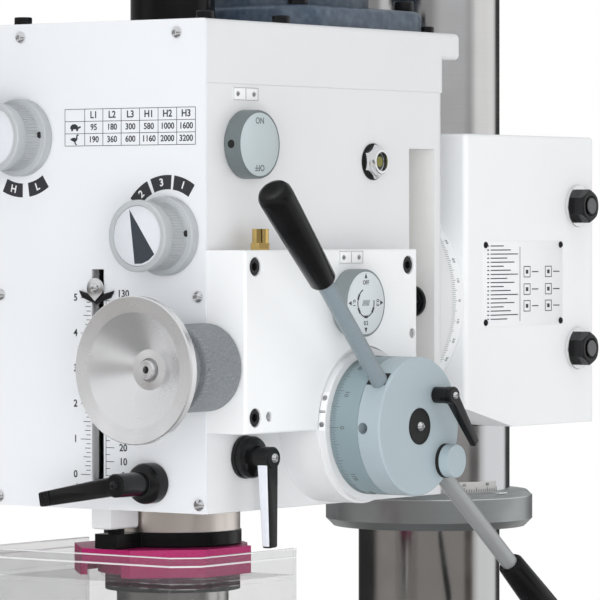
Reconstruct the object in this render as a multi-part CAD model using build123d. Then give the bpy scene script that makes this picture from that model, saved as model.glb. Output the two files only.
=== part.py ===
from build123d import *
import math
import os

# Geared pillar drill: a cast base carries a steel column, a rack-lifted tilting table and a geared head.
# Frame: the column axis is the Z axis, the floor is Z 0, and the operator stands on the -Y side.

# Clearances
fit = 0.1            # radial gap of a shaft in its bore
run = 0.3            # gap between faces that slide or turn past each other
seat = 0.05          # radial gap of a piece fixed in its hole

# Stand
column_d = 112.0
column_wall = 10.0
column_top = 1700.0
base_width = 420.0
base_front = 500.0   # from the column axis to the front edge
base_back = 170.0    # from the column axis to the rear edge
base_height = 80.0
base_deck = 34.0
base_wall = 16.0
base_corner = 24.0
slot_width = 16.0
slot_neck = 14.0
slot_head_width = 28.0
slot_head = 11.0
base_slot_spacing = 180.0
anchor_d = 18.0
anchor_inset = 42.0
foot_flange_d = 240.0
foot_flange = 24.0
foot_d = 160.0
foot_height = 90.0
foot_bolt_circle = 200.0
foot_bolt_d = 16.0

# Table rack and its pinion
rack_module = 3.0
rack_width = 18.0
rack_back = 12.0
rack_gap = 1.0       # from the column to the rack
pinion_teeth = 14
pinion_wall = 14.0   # wall of the arm round the pinion
crank_shaft_d = 18.0
crank_radius = 110.0
crank_boss = 86.0    # outer end of the crank bearing from the middle of the arm

# Table
table_level = 780.0  # top of the table at rest
table_width = 380.0
table_length = 340.0
table_thick = 40.0
table_hub_d = 120.0
table_stem_d = 50.0
table_slot_spacing = 170.0
tilt_drop = 125.0    # tilt axis below the table top
arm_sleeve_d = 172.0
arm_sleeve = 150.0
arm_width = 100.0
arm_height = 90.0
arm_flange_d = 120.0
arm_reach = 205.0    # column axis to the tilt joint
knee_pin_d = 40.0
clamp_lug = 34.0     # half width of the clamping lugs
clamp_screw_d = 16.0

# Head
throat = 330.0       # column axis to spindle axis
head_bottom = 1290.0
head_width = 195.0
head_wall = 10.0
housing_height = 304.0
cover_height = 45.6
panel_offset = 87.0  # spindle axis to the front of the panel
panel_thick = 2.0
panel_height = 349.6
head_depth = 297.0   # front of the panel to the rear of the casting
lug_depth = 22.6
lug_height = 20.0
tilt_height = 146.0  # tilt axis above the bottom of the head
shelf_level = 203.0
shelf_thick = 10.0

# Head carrier
carrier_width = 184.0
carrier_front = 83.0
carrier_back = 99.0
carrier_low = 47.0   # underside above the bottom of the head
carrier_high = 274.0
clamp_stud_d = 16.0
clamp_waist_d = 13.0
clamp_stud_y = 73.0
collar_d = 164.0
collar_height = 28.0
sleeve_d = 128.0
sleeve_height = 53.0
swivel_d = 180.0
seat_depth = 15.0
swivel_spigot_d = 120.0
spigot_depth = 12.0

# Quill and spindle
quill_d = 82.0
quill_travel = 130.0
quill_low = -72.0    # quill nose from the bottom of the head
quill_high = 200.0
boss_d = 99.0
boss_drop = 18.5
quill_module = 2.5
feed_teeth = 16
quill_pitch_depth = 4.0
spindle_d = 40.0
spline_d = 28.0
spline_key = 6.0

# Gear train
gear_module = 2.0
motor_teeth = 23
lay_wheel_teeth = 47
lay_pinion_teeth = 24
spindle_teeth = 46
gear_face = 20.0
motor_offset = 130.0  # spindle axis to motor axis
motor_d = 160.0
motor_flange_width = 172.0
motor_flange_corner = 30.0
motor_flange = 16.0
motor_length = 224.0
fan_cover_length = 62.0
motor_shaft_d = 24.0

# Feed
drum_d = 100.0
drum_length = 19.0
ring_length = 24.0
ring_bore = 60.0
drum_axis = 59.0     # feed shaft above the bottom of the head
feed_shaft_d = 24.0
feed_boss_d = 114.0
feed_boss_wall = 11.0
feed_boss_end = 131.0
index_d = 110.0
index_rim = 6.0
lever_root = 25.0    # inner end of a lever from the feed shaft
lever_reach = 252.0
lever_d = 12.3
lever_angle = 138.0
lever_lean = 4.7
grip_length = 94.0
grip_d = 25.0
box_depth = 34.5
box_front = 1.0
box_length = 210.0
box_low = 57.0
box_high = 186.0
box_wall = 10.0
box_screw_inset = 11.5
box_screw_d = 13.5
spring_cup = 26.0    # length of the return spring cup
spring_cup_d = 96.0
worm_height = 103.6
worm_module = 2.0
worm_wheel_teeth = 30
worm_x = 99.0
worm_shaft_d = 16.0
wheel_d = 103.0
wheel_reach = 84.0   # front of the wheel from the panel
dial_d = 62.0
dial_length = 40.0

# Derived places
column_r = column_d / 2
spindle_y = -throat
panel_y = spindle_y - panel_offset
casting_y = panel_y + panel_thick
rear_y = panel_y + head_depth
half = head_width / 2
housing_top = head_bottom + housing_height
cover_top = housing_top + cover_height
tilt_z = head_bottom + tilt_height
motor_y = spindle_y + motor_offset
quill_r = quill_d / 2
feed_r = quill_module * feed_teeth / 2
feed_y = spindle_y + quill_r - quill_pitch_depth + feed_r
feed_z = head_bottom + drum_axis
worm_z = head_bottom + worm_height
worm_wheel_r = worm_module * worm_wheel_teeth / 2
worm_r = worm_z - feed_z - worm_wheel_r
box_x = half + box_depth
ring_back = feed_boss_end + index_rim + run
drum_back = ring_back + ring_length + run
drum_face = drum_back + drum_length
carrier_x = carrier_width / 2
foot_top = base_height + foot_height
collar_top = head_bottom + carrier_low - sleeve_height
collar_low = collar_top - collar_height
pinion_r = rack_module * pinion_teeth / 2
tilt_axis_z = table_level - tilt_drop
arm_low = tilt_axis_z - arm_sleeve / 2
arm_high = tilt_axis_z + arm_sleeve / 2


def block(x0, x1, y0, y1, z0, z1):
    return Pos((x0 + x1) / 2, (y0 + y1) / 2, (z0 + z1) / 2) * Box(x1 - x0, y1 - y0, z1 - z0)


def rod_x(x0, x1, y, z, d):
    return Pos((x0 + x1) / 2, y, z) * Rot(0, 90, 0) * Cylinder(d / 2, x1 - x0)


def rod_y(y0, y1, x, z, d):
    return Pos(x, (y0 + y1) / 2, z) * Rot(90, 0, 0) * Cylinder(d / 2, y1 - y0)


def rod_z(z0, z1, x, y, d):
    return Pos(x, y, (z0 + z1) / 2) * Cylinder(d / 2, z1 - z0)


def hex_z(z0, z1, x, y, across):
    return Pos(x, y, z0) * extrude(RegularPolygon(across / 2, 6, major_radius=False), z1 - z0)


def save(name, *solids):
    shape = solids[0] if len(solids) == 1 else Compound(children=list(solids))
    export_step(shape, f"parts/{name}.step")


def involute(angle):
    return math.tan(angle) - angle


def gear_face_profile(module, teeth, first_tooth, backlash):
    # Tooth flanks follow an involute of 20 degrees through root, pitch and tip.
    pressure = math.radians(20)
    pitch = module * teeth / 2
    base = pitch * math.cos(pressure)
    radii = [pitch - 1.2 * module, pitch, pitch + 0.9 * module]
    half_angle = (math.pi * module / 2 - backlash) / (2 * pitch)
    points = []
    for tooth in range(teeth):
        middle = math.radians(first_tooth) + 2 * math.pi * tooth / teeth
        flank = []
        for radius in radii:
            tip_angle = math.acos(min(1, base / max(radius, base)))
            flank.append((radius, half_angle + involute(pressure) - involute(tip_angle)))
        for radius, spread in flank:
            points.append((radius * math.cos(middle - spread), radius * math.sin(middle - spread)))
        for radius, spread in reversed(flank):
            points.append((radius * math.cos(middle + spread), radius * math.sin(middle + spread)))
    return make_face(Polyline(*points, close=True))


def gear_z(module, teeth, first_tooth, x, y, z0, z1):
    return Pos(x, y, z0) * extrude(gear_face_profile(module, teeth, first_tooth, 0.12 * module), z1 - z0)


def gear_x(module, teeth, first_tooth, x0, x1, y, z):
    # The turned plane has its local X along Y and its local Y along Z.
    profile = Plane.YZ * gear_face_profile(module, teeth, first_tooth, 0.12 * module)
    return Pos(x0, y, z) * extrude(profile, x1 - x0, dir=(1, 0, 0))


os.makedirs("parts", exist_ok=True)


# Stand
def t_slot_y(x, y0, y1, top):
    neck = block(x - slot_width / 2, x + slot_width / 2, y0, y1, top - slot_neck, top + 1)
    head = block(x - slot_head_width / 2, x + slot_head_width / 2, y0, y1,
                 top - slot_neck - slot_head, top - slot_neck)
    return neck + head


def base_plate():
    w = base_width / 2
    body = block(-w, w, -base_front, base_back, 0, base_height)
    body = fillet(body.edges().filter_by(Axis.Z), base_corner)
    body = fillet(body.faces().sort_by(Axis.Z)[-1].edges(), 6)
    under = base_height - base_deck
    hollow = block(-w + base_wall, w - base_wall, -base_front + base_wall, base_back - base_wall, -1, under)
    rib_y = -foot_flange_d / 2 - 40
    hollow -= block(-w, w, rib_y - base_wall / 2, rib_y + base_wall / 2, -1, under)
    hollow -= block(-base_wall / 2, base_wall / 2, -base_front, base_back, -1, under)
    for sx in (-1, 1):
        for y in (-base_front + anchor_inset, base_back - anchor_inset):
            hollow -= rod_z(-1, under, sx * (w - anchor_inset), y, 2.6 * anchor_d)
    body -= hollow
    for sx in (-1, 1):
        body -= t_slot_y(sx * base_slot_spacing / 2, -base_front - 1, -foot_flange_d / 2 - 30, base_height)
        for y in (-base_front + anchor_inset, base_back - anchor_inset):
            body -= rod_z(-1, base_height + 1, sx * (w - anchor_inset), y, anchor_d)
    for x, y in foot_bolt_places():
        body -= rod_z(base_height - 30, base_height + 1, x, y, foot_bolt_d + 2 * seat)
    return body


def foot_bolt_places():
    r = foot_bolt_circle / 2 * math.sqrt(0.5)
    return [(sx * r, sy * r) for sx in (-1, 1) for sy in (-1, 1)]


def column_foot():
    flange = rod_z(base_height, base_height + foot_flange, 0, 0, foot_flange_d)
    body = flange + rod_z(base_height, foot_top, 0, 0, foot_d)
    edge = body.edges().filter_by(GeomType.CIRCLE).filter_by_position(
        Axis.Z, base_height + foot_flange - 0.1, base_height + foot_flange + 0.1)
    body = fillet(edge.sort_by(SortBy.RADIUS)[0], 12)
    body = fillet(body.edges().filter_by(GeomType.CIRCLE).sort_by(SortBy.RADIUS)[-1], 4)
    body -= rod_z(0, foot_top + 1, 0, 0, column_d + 2 * seat)
    for x, y in foot_bolt_places():
        body -= rod_z(base_height - 1, foot_top, x, y, foot_bolt_d + 2 * seat)
        body -= rod_z(base_height + foot_flange, foot_top, x, y, 2.1 * foot_bolt_d)
    return body


def foot_bolts():
    top = base_height + foot_flange
    bolts = []
    for x, y in foot_bolt_places():
        bolt = rod_z(base_height - 28, top, x, y, foot_bolt_d)
        bolts.append(bolt + hex_z(top, top + 0.65 * foot_bolt_d, x, y, 1.5 * foot_bolt_d))
    return bolts


def column_tube():
    tube = rod_z(base_height, column_top, 0, 0, column_d)
    return tube - rod_z(base_height - 1, column_top + 1, 0, 0, column_d - 2 * column_wall)


def column_cap():
    lid = rod_z(column_top, column_top + 10, 0, 0, column_d)
    lid = fillet(lid.edges().sort_by(Axis.Z)[-1], 5)
    return lid + rod_z(column_top - 20, column_top, 0, 0, column_d - 2 * column_wall - 2 * seat)


def column_collar():
    ring = rod_z(collar_low, collar_top, 0, 0, collar_d)
    ring = chamfer(ring.edges().filter_by(GeomType.CIRCLE).sort_by(Axis.Z)[-1], 4)
    ring = chamfer(ring.edges().filter_by(GeomType.CIRCLE).sort_by(Axis.Z)[0], 6)
    return ring - rod_z(collar_low - 1, collar_top + 1, 0, 0, column_d + 2 * seat)


def thrust_sleeve():
    ring = rod_z(collar_top, collar_top + sleeve_height - run, 0, 0, sleeve_d)
    return ring - rod_z(collar_top - 1, collar_top + sleeve_height, 0, 0, column_d + 2 * seat)


save("base_plate", base_plate())
save("column_foot", column_foot())
save("foot_bolts", *foot_bolts())
save("column_tube", column_tube())
save("column_cap", column_cap())
save("column_collar", column_collar())
save("thrust_sleeve", thrust_sleeve())


# Table lift: a rack behind the column, the arm that slides along it and the crank with its pinion
rack_y = column_r + rack_gap
rack_root_y = rack_y + rack_back
rack_pitch_y = rack_root_y + 1.25 * rack_module
rack_tip_y = rack_pitch_y + 0.9 * rack_module
rack_half = rack_width / 2
pinion_y = rack_pitch_y + pinion_r
pinion_z = tilt_axis_z
rack_low = foot_top + run
rack_high = collar_low - run
clamp_x = -arm_sleeve_d / 2 - 18


def table_rack():
    pitch = math.pi * rack_module
    slope = math.tan(math.radians(20))
    half_root = pitch / 4 + (rack_pitch_y - rack_root_y) * slope - 0.15
    half_tip = pitch / 4 - (rack_tip_y - rack_pitch_y) * slope - 0.15
    points = [(rack_y, rack_low), (rack_root_y, rack_low)]
    # The pinion has a tooth on the pitch point, so teeth of the rack stand half a pitch to each side.
    count = int((pinion_z - rack_low) / pitch) - 1
    tooth = pinion_z - (count + 0.5) * pitch
    while tooth + pitch / 2 < rack_high:
        points += [(rack_root_y, tooth - half_root), (rack_tip_y, tooth - half_tip)]
        points += [(rack_tip_y, tooth + half_tip), (rack_root_y, tooth + half_root)]
        tooth += pitch
    points += [(rack_root_y, rack_high), (rack_y, rack_high)]
    face = Plane.YZ * make_face(Polyline(*points, close=True))
    return Pos(-rack_half, 0, 0) * extrude(face, rack_width, dir=(1, 0, 0))


def table_arm():
    sleeve = rod_z(arm_low, arm_high, 0, 0, arm_sleeve_d)
    low = tilt_axis_z - arm_height / 2
    high = tilt_axis_z + arm_height / 2
    beam = block(-arm_width / 2, arm_width / 2, -arm_reach + 12, 0, low, high)
    beam = fillet(beam.edges().filter_by(Axis.Y), 16)
    body = sleeve + beam + rod_y(-arm_reach, -arm_reach + 22, 0, tilt_axis_z, arm_flange_d)
    body += block(clamp_x - 16, -arm_sleeve_d / 2 + 30, -clamp_lug, clamp_lug,
                  tilt_axis_z - 36, tilt_axis_z + 36)
    pinion_room = 2 * pinion_r + 2.4 * rack_module
    body += rod_x(-rack_half - pinion_wall, crank_boss, pinion_y, pinion_z, pinion_room + 2 * pinion_wall)
    # Bores for the column, the rack, the pinion and the crank
    side = rack_half + 2 * run
    body -= rod_z(arm_low - 1, arm_high + 1, 0, 0, column_d + 2 * fit)
    body -= block(-side, side, column_r - 12, rack_tip_y + 1, arm_low - 1, arm_high + 1)
    body -= rod_x(-side, side, pinion_y, pinion_z, pinion_room)
    body -= rod_x(0, crank_boss + 1, pinion_y, pinion_z, crank_shaft_d + 2 * fit)
    # Clamping slot, clamping screw and knee pin
    body -= block(clamp_x - 20, -column_r + 8, -3, 3, arm_low - 1, arm_high + 1)
    body -= rod_y(-clamp_lug - 1, clamp_lug + 1, clamp_x, tilt_axis_z, clamp_screw_d + 2 * fit)
    body -= rod_y(-arm_reach - 1, -arm_reach + 45, 0, tilt_axis_z, knee_pin_d + 2 * fit)
    return body


def table_clamp_lever():
    face = -clamp_lug - run
    screw = rod_y(face, clamp_lug + 8, clamp_x, tilt_axis_z, clamp_screw_d)
    hub = rod_y(face - 26, face, clamp_x, tilt_axis_z, 30)
    head = rod_y(clamp_lug + run, clamp_lug + 10, clamp_x, tilt_axis_z, 26)
    swing = Pos(clamp_x, face - 16, tilt_axis_z) * Rot(0, 35, 0)
    bar = swing * Pos(0, 0, -55) * Cylinder(6, 110)
    knob = swing * Pos(0, 0, -118) * Sphere(14)
    return screw + hub + head + bar + knob


def lift_crank():
    shaft = rod_x(-rack_half + run, crank_boss + 26, pinion_y, pinion_z, crank_shaft_d)
    # A tooth points at the rack, which lies towards -Y.
    gear = gear_x(rack_module, pinion_teeth, 180, -rack_half + run, rack_half - run, pinion_y, pinion_z)
    arm_x = crank_boss + run
    hub = rod_x(arm_x, arm_x + 26, pinion_y, pinion_z, 40)
    tip_z = pinion_z - crank_radius
    web = block(arm_x + 8, arm_x + 22, pinion_y - 12, pinion_y + 12, tip_z, pinion_z)
    end = rod_x(arm_x + 8, arm_x + 22, pinion_y, tip_z, 24)
    pin = rod_x(arm_x + 22, arm_x + 116, pinion_y, tip_z, 10)
    return shaft + gear + hub + web + end + pin


def crank_grip():
    x0 = crank_boss + run + 22 + run
    profile = Polyline((0, 0), (0, 11), (20, 14), (70, 14), (88, 10), (88, 0), close=True)
    grip = revolve(make_face(profile), Axis.X)
    grip -= rod_x(-1, 89, 0, 0, 10 + 2 * seat)
    return Pos(x0, pinion_y, pinion_z - crank_radius) * grip


knee_face = -arm_reach - run
knee_top = table_level - table_thick - 40


def table_knee():
    flange = rod_y(knee_face - 20, knee_face, 0, tilt_axis_z, arm_flange_d)
    pin = rod_y(knee_face - 10, knee_face + 42, 0, tilt_axis_z, knee_pin_d)
    web = block(-38, 38, spindle_y, knee_face - 10, tilt_axis_z - 36, tilt_axis_z + 34)
    web = fillet(web.edges().filter_by(Axis.Y), 12)
    post = rod_z(tilt_axis_z - 42, knee_top - run, 0, spindle_y, 96)
    body = flange + pin + web + post
    return body - rod_z(tilt_axis_z - 50, knee_top + 1, 0, spindle_y, table_stem_d + 2 * fit)


def drill_table():
    w = table_width / 2
    y0 = spindle_y - table_length / 2
    y1 = spindle_y + table_length / 2
    under = table_level - table_thick
    body = block(-w, w, y0, y1, under, table_level)
    body = fillet(body.edges().filter_by(Axis.Z), 18)
    rim = 20.0
    trough = block(-w + rim, w - rim, y0 + rim, y1 - rim, table_level - 6, table_level + 1)
    trough -= block(-w + 2 * rim, w - 2 * rim, y0 + 2 * rim, y1 - 2 * rim, table_level - 7, table_level + 2)
    body -= trough
    for sx in (-1, 1):
        body -= t_slot_y(sx * table_slot_spacing / 2, y0 - 1, y1 + 1, table_level)
    body += rod_z(knee_top, under, 0, spindle_y, table_hub_d)
    body += rod_z(tilt_axis_z - 42, knee_top, 0, spindle_y, table_stem_d)
    body -= rod_z(tilt_axis_z - 50, table_level + 1, 0, spindle_y, 26)
    return body


save("table_rack", table_rack())
save("table_arm", table_arm())
save("table_clamp_lever", table_clamp_lever())
save("lift_crank", lift_crank())
save("crank_grip", crank_grip())
save("table_knee", table_knee())
save("drill_table", drill_table())


# Head carrier: a split casting clamped on the column with a round seat for the tilting head
carrier_y = -carrier_front
seat_y = carrier_y - seat_depth
swivel_face = seat_y - run
swivel_slot_d = swivel_d - 24.0
swivel_bolt_d = 10.0
swivel_head = 7.0
carrier_z0 = head_bottom + carrier_low
carrier_z1 = head_bottom + carrier_high
stud_levels = (head_bottom + 106.0, head_bottom + 219.0)
stud_waist = 46.0


def swivel_ring(y0, y1, width):
    outer = rod_y(y0, y1, 0, tilt_z, swivel_slot_d + width)
    return outer - rod_y(y0 - 1, y1 + 1, 0, tilt_z, swivel_slot_d - width)


def clamp_stud(y, z, gap):
    ends = rod_x(-carrier_x - 1, -stud_waist, y, z, clamp_stud_d + 2 * gap)
    ends += rod_x(stud_waist, carrier_x + 1, y, z, clamp_stud_d + 2 * gap)
    return ends + rod_x(-stud_waist - 1, stud_waist + 1, y, z, clamp_waist_d + 2 * gap)


def head_carrier():
    body = block(-carrier_x, carrier_x, carrier_y, carrier_back, carrier_z0, carrier_z1)
    ramp_y = -column_r / 3
    ramp = Polyline((carrier_y - 1, carrier_z0 - 1), (ramp_y, carrier_z0 - 1), (ramp_y, carrier_z0),
                    (carrier_y - 1, carrier_z0 + 16), close=True)
    wedge = extrude(Plane.YZ * make_face(ramp), carrier_width, dir=(1, 0, 0))
    body -= Pos(-carrier_x, 0, 0) * wedge
    body = fillet(body.edges().filter_by(Axis.Z), 4)
    body = fillet(body.faces().sort_by(Axis.Z)[-1].edges(), 3)
    body += rod_y(seat_y, carrier_y + 4, 0, tilt_z, swivel_d)
    body -= rod_z(carrier_z0 - 50, carrier_z1 + 1, 0, 0, column_d + 2 * fit)
    body -= block(-3, 3, column_r - 6, carrier_back + 1, carrier_z0 - 1, carrier_z1 + 1)
    body -= rod_y(seat_y - 1, seat_y + spigot_depth + 1, 0, tilt_z, swivel_spigot_d + 2 * fit)
    body -= swivel_ring(seat_y - 1, seat_y + 6, swivel_bolt_d + 2)
    body -= swivel_ring(seat_y + 6, seat_y + 6 + swivel_head + 2, swivel_bolt_d + 8)
    for z in stud_levels:
        body -= clamp_stud(clamp_stud_y, z, seat)
    return body


def carrier_nuts():
    studs = []
    for z in stud_levels:
        y = clamp_stud_y
        stud = clamp_stud(y, z, 0) + rod_x(carrier_x, carrier_x + 30, y, z, clamp_stud_d)
        stud += rod_x(carrier_x, carrier_x + 3, y, z, 2.1 * clamp_stud_d)
        nut = extrude(RegularPolygon(0.75 * clamp_stud_d, 6, major_radius=False), 18)
        stud += Pos(carrier_x + 3, y, z) * Rot(0, 90, 0) * nut
        head = extrude(RegularPolygon(0.75 * clamp_stud_d, 6, major_radius=False), 14)
        stud += Pos(-carrier_x - 14, y, z) * Rot(0, 90, 0) * head
        studs.append(stud)
    return studs


save("head_carrier", head_carrier())
save("carrier_nuts", *carrier_nuts())


# Geared head: housing, cover and front panel
cavity_back = rear_y - 57.0
pocket_y1 = rear_y - 14.0
pocket_y0 = pocket_y1 - 33.0
pocket_depth = 35.5
pocket_low = head_bottom + 31.0
pocket_high = head_bottom + 261.0
shelf_z = head_bottom + shelf_level
lay_x = -math.sqrt((gear_module * (motor_teeth + lay_wheel_teeth) / 2) ** 2 - (motor_offset / 2) ** 2)
lay_y = spindle_y + motor_offset / 2
sleeve_spigot_d = 48.0
lay_d = 18.0
slot_half = 5.5
slot_low = head_bottom + 19.0
slot_high = head_bottom + 172.0
range_knob_x = -70.0
range_knob_z = head_bottom + 267.0
speed_knob_x = 64.0
speed_knob_z = head_bottom + 196.0
knob_shaft_d = 16.0
front_lock_x = 50.6
front_lock_z = head_bottom + 20.6
side_lock_y = panel_y + 44.0
side_lock_z = head_bottom + 38.7
lock_stud_d = 10.0
feed_on_y = panel_y + 45.0
feed_on_z = head_bottom + 261.0
rate_y = panel_y + 126.3
rate_z = head_bottom + 147.6
foot_half = 8.7
foot_y0 = panel_y + 4.0
foot_y1 = panel_y + 35.5
foot_z = head_bottom - 14.8
guide_top = head_bottom + 110.0
sight_y = panel_y + 202.3
sight_z = head_bottom + 250.7


def gear_housing():
    outer = block(-half, half, casting_y, rear_y, head_bottom, housing_top)
    outer = fillet(outer.edges().filter_by(Axis.Z).sort_by(Axis.Y)[-2:], 8)
    hollow = block(-half + head_wall, half - head_wall, casting_y + head_wall, cavity_back,
                   head_bottom + 12, housing_top + 1)
    body = outer - hollow
    body -= block(-half + 45, half - 45, cavity_back - 1, rear_y - 14,
                  shelf_z + shelf_thick, housing_top + 1)
    body += block(-half + head_wall / 2, half - head_wall / 2, casting_y + head_wall / 2, cavity_back + 1,
                  shelf_z, shelf_z + shelf_thick)
    body += rod_z(head_bottom - boss_drop, guide_top, 0, spindle_y, boss_d)
    foot = block(-foot_half, foot_half, foot_y0, foot_y1, foot_z, head_bottom + 6)
    body += fillet(foot.edges().group_by(Axis.Z)[0], 2)
    body += rod_x(half - head_wall, feed_boss_end, feed_y, feed_z, feed_boss_d)
    body += rod_x(feed_boss_end - 1, feed_boss_end + index_rim, feed_y, feed_z, index_d)
    body += rod_x(-half - spring_cup, -half + head_wall, feed_y, feed_z, spring_cup_d)
    for sx in (-1, 1):
        pocket = block(half - pocket_depth, half + 1, pocket_y0, pocket_y1, pocket_low, pocket_high)
        body -= pocket if sx > 0 else mirror(pocket, Plane.YZ)
    body += rod_y(rear_y - 4, swivel_face, 0, tilt_z, swivel_d)
    body += rod_y(swivel_face - 1, seat_y + spigot_depth, 0, tilt_z, swivel_spigot_d)
    for sx in (-1, 1):
        body -= rod_y(pocket_y1 - 1, seat_y, sx * swivel_slot_d / 2, tilt_z, swivel_bolt_d + 2 * seat)
    # Bores for the quill, the gear shafts and the feed shaft
    body -= rod_z(head_bottom - 40, guide_top + 1, 0, spindle_y, quill_d + 2 * fit)
    body -= rod_z(shelf_z - 1, shelf_z + shelf_thick + 1, 0, spindle_y, sleeve_spigot_d + 2 * fit)
    body -= rod_z(shelf_z - 1, shelf_z + shelf_thick + 1, lay_x, lay_y, lay_d + 2 * fit)
    body -= rod_x(-60, 60, feed_y, feed_z, feed_shaft_d + 4)
    body -= rod_x(-20, 20, feed_y, feed_z, 2 * feed_r + 2.6 * quill_module)
    body -= rod_x(-half - spring_cup - 1, half + 60, feed_y, feed_z, feed_shaft_d + 2 * fit)
    body -= rod_x(-half - spring_cup - 1, -half, feed_y, feed_z, spring_cup_d - 12)
    body -= rod_x(half - head_wall - 1, feed_boss_end - feed_boss_wall, feed_y, feed_z,
                  feed_boss_d - 2 * feed_boss_wall)
    # Room for the worm and its shaft in the side wall
    body -= rod_y(casting_y - 1, panel_y + box_length + 20, worm_x, worm_z, worm_shaft_d + 3)
    body -= block(half - head_wall - 1, worm_x + worm_r + 5, feed_y - 32, feed_y + 32,
                  worm_z - worm_r - 5, worm_z + worm_r + 5)
    # Openings of the front wall and the sides for the controls
    body -= block(-slot_half - 3, slot_half + 3, casting_y - 1, casting_y + head_wall + 1,
                  slot_low - 4, slot_high + 4)
    body -= block(-slot_half, slot_half, casting_y, spindle_y, slot_low - 4, guide_top + 1)
    body -= rod_y(casting_y - 1, casting_y + 20, range_knob_x, range_knob_z, knob_shaft_d + 2 * fit)
    body -= rod_y(casting_y - 1, casting_y + 20, speed_knob_x, speed_knob_z, knob_shaft_d + 2 * fit)
    body -= rod_y(casting_y - 1, spindle_y, front_lock_x, front_lock_z, lock_stud_d + 2 * fit)
    body -= rod_x(half - 30, half + 1, side_lock_y, side_lock_z, lock_stud_d + 2 * fit)
    body -= rod_x(half - 20, half + 1, feed_on_y, feed_on_z, knob_shaft_d + 2 * fit)
    body -= rod_x(half - 20, half + 1, sight_y, sight_z, 18 + 2 * seat)
    return body


def top_cover():
    body = block(-half, half, casting_y, rear_y, housing_top, cover_top - lug_height)
    body += block(-half, half, casting_y, rear_y + lug_depth, cover_top - lug_height, cover_top)
    body = fillet(body.edges().filter_by(Axis.Z).sort_by(Axis.Y)[-4:], 5)
    body = fillet(body.edges().filter_by(Axis.X).sort_by(Axis.Y)[-2:], 4)
    roof = 8.0
    hollow = block(-half + head_wall, half - head_wall, casting_y + head_wall, cavity_back,
                   housing_top - 1, cover_top - roof)
    body -= hollow
    rib = block(-half + head_wall / 2, half - head_wall / 2, spindle_y - 36, spindle_y + 36,
                housing_top, housing_top + 14)
    rib += block(lay_x - 26, lay_x + 26, lay_y - 40, lay_y + 26, housing_top, housing_top + 14)
    body += rib
    body += block(-half + head_wall / 2, lay_x + 26, lay_y - 26, lay_y + 26, housing_top, housing_top + 14)
    body -= rod_z(housing_top - 1, cover_top + 1, 0, spindle_y, sleeve_spigot_d + 2 * fit)
    body -= rod_z(housing_top - 1, housing_top + 11, lay_x, lay_y, lay_d + 2 * fit)
    body -= rod_z(housing_top - 1, cover_top + 1, 0, motor_y, 60)
    return body


def front_panel():
    body = block(-half, half, panel_y, casting_y, head_bottom, head_bottom + panel_height)
    body = fillet(body.edges().filter_by(Axis.Y), 2)
    body -= block(-slot_half, slot_half, panel_y - 1, casting_y + 1, slot_low, slot_high)
    body -= rod_y(panel_y - 1, casting_y + 1, range_knob_x, range_knob_z, knob_shaft_d + 2 * fit)
    body -= rod_y(panel_y - 1, casting_y + 1, speed_knob_x, speed_knob_z, knob_shaft_d + 2 * fit)
    body -= rod_y(panel_y - 1, casting_y + 1, front_lock_x, front_lock_z, lock_stud_d + 2 * fit)
    body -= rod_y(panel_y - 1, casting_y + 1, worm_x, worm_z, worm_shaft_d + 3)
    return body


def panel_screws():
    places = [(sx * (half - 6), head_bottom + z) for sx in (-1, 1) for z in (7.0, 153.0)]
    places += [(sx * 72.0, head_bottom + 340.0) for sx in (-1, 1)]
    screws = []
    for x, z in places:
        dome = Cone(4.6, 2.6, 3.0, align=(Align.CENTER, Align.CENTER, Align.MIN))
        screws.append(Pos(x, panel_y, z) * Rot(90, 0, 0) * dome)
    return screws


save("gear_housing", gear_housing())
save("top_cover", top_cover())
save("front_panel", front_panel())
save("panel_screws", *panel_screws())


# Feed box on the right side of the head with the worm for the fine feed
oil_x = half + 14.5
oil_y = panel_y + 45.0


def feed_box():
    y0 = panel_y + box_front
    y1 = panel_y + box_front + box_length
    z0 = head_bottom + box_low
    z1 = head_bottom + box_high
    body = block(half, box_x, y0, y1, z0, z1)
    body = fillet(body.edges().group_by(Axis.X)[-1], 2)
    hollow = block(half - 1, box_x - box_wall, y0 + box_wall, y1 - box_wall, z0 + box_wall, z1 - box_wall)
    screws = [(y0 + box_screw_inset, z0 + box_screw_inset), (y0 + box_screw_inset, z1 - box_screw_inset),
              (y1 - box_screw_inset, z1 - box_screw_inset)]
    for y, z in screws:
        hollow -= rod_x(half - 2, box_x, y, z, box_screw_d + 8)
    body -= hollow
    for y, z in screws:
        body -= rod_x(box_x - 8.5, box_x + 1, y, z, box_screw_d)
    for y, z in ((y0 + 27.6, z0 + 11.8), (y1 - 6.5, z0 + 67.0)):
        body -= rod_x(box_x - 6, box_x + 1, y, z, 7)
    body -= rod_x(half - 1, box_x + 1, feed_y, feed_z, feed_boss_d + 2 * run)
    body -= rod_y(y0 - 1, y1 + 1, worm_x, worm_z, worm_shaft_d + 2 * fit)
    body -= rod_x(box_x - 20, box_x + 1, rate_y, rate_z, knob_shaft_d + 2 * fit)
    body -= rod_z(z1 - 12, z1 + 1, oil_x, oil_y, 9 + 2 * seat)
    return body


def oil_cup():
    z = head_bottom + box_high
    cup = rod_z(z - 9, z, oil_x, oil_y, 9) + hex_z(z, z + 5, oil_x, oil_y, 13)
    cup += rod_z(z + 5, z + 15, oil_x, oil_y, 12)
    return cup


def sight_glass():
    plug = rod_x(half - 9, half, sight_y, sight_z, 18)
    nut = extrude(RegularPolygon(11, 6, major_radius=False), 6)
    plug += Pos(half, sight_y, sight_z) * Rot(0, 90, 0) * nut
    plug += rod_x(half + 6, half + 9, sight_y, sight_z, 19)
    return plug - rod_x(half + 7, half + 10, sight_y, sight_z, 14)


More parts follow.
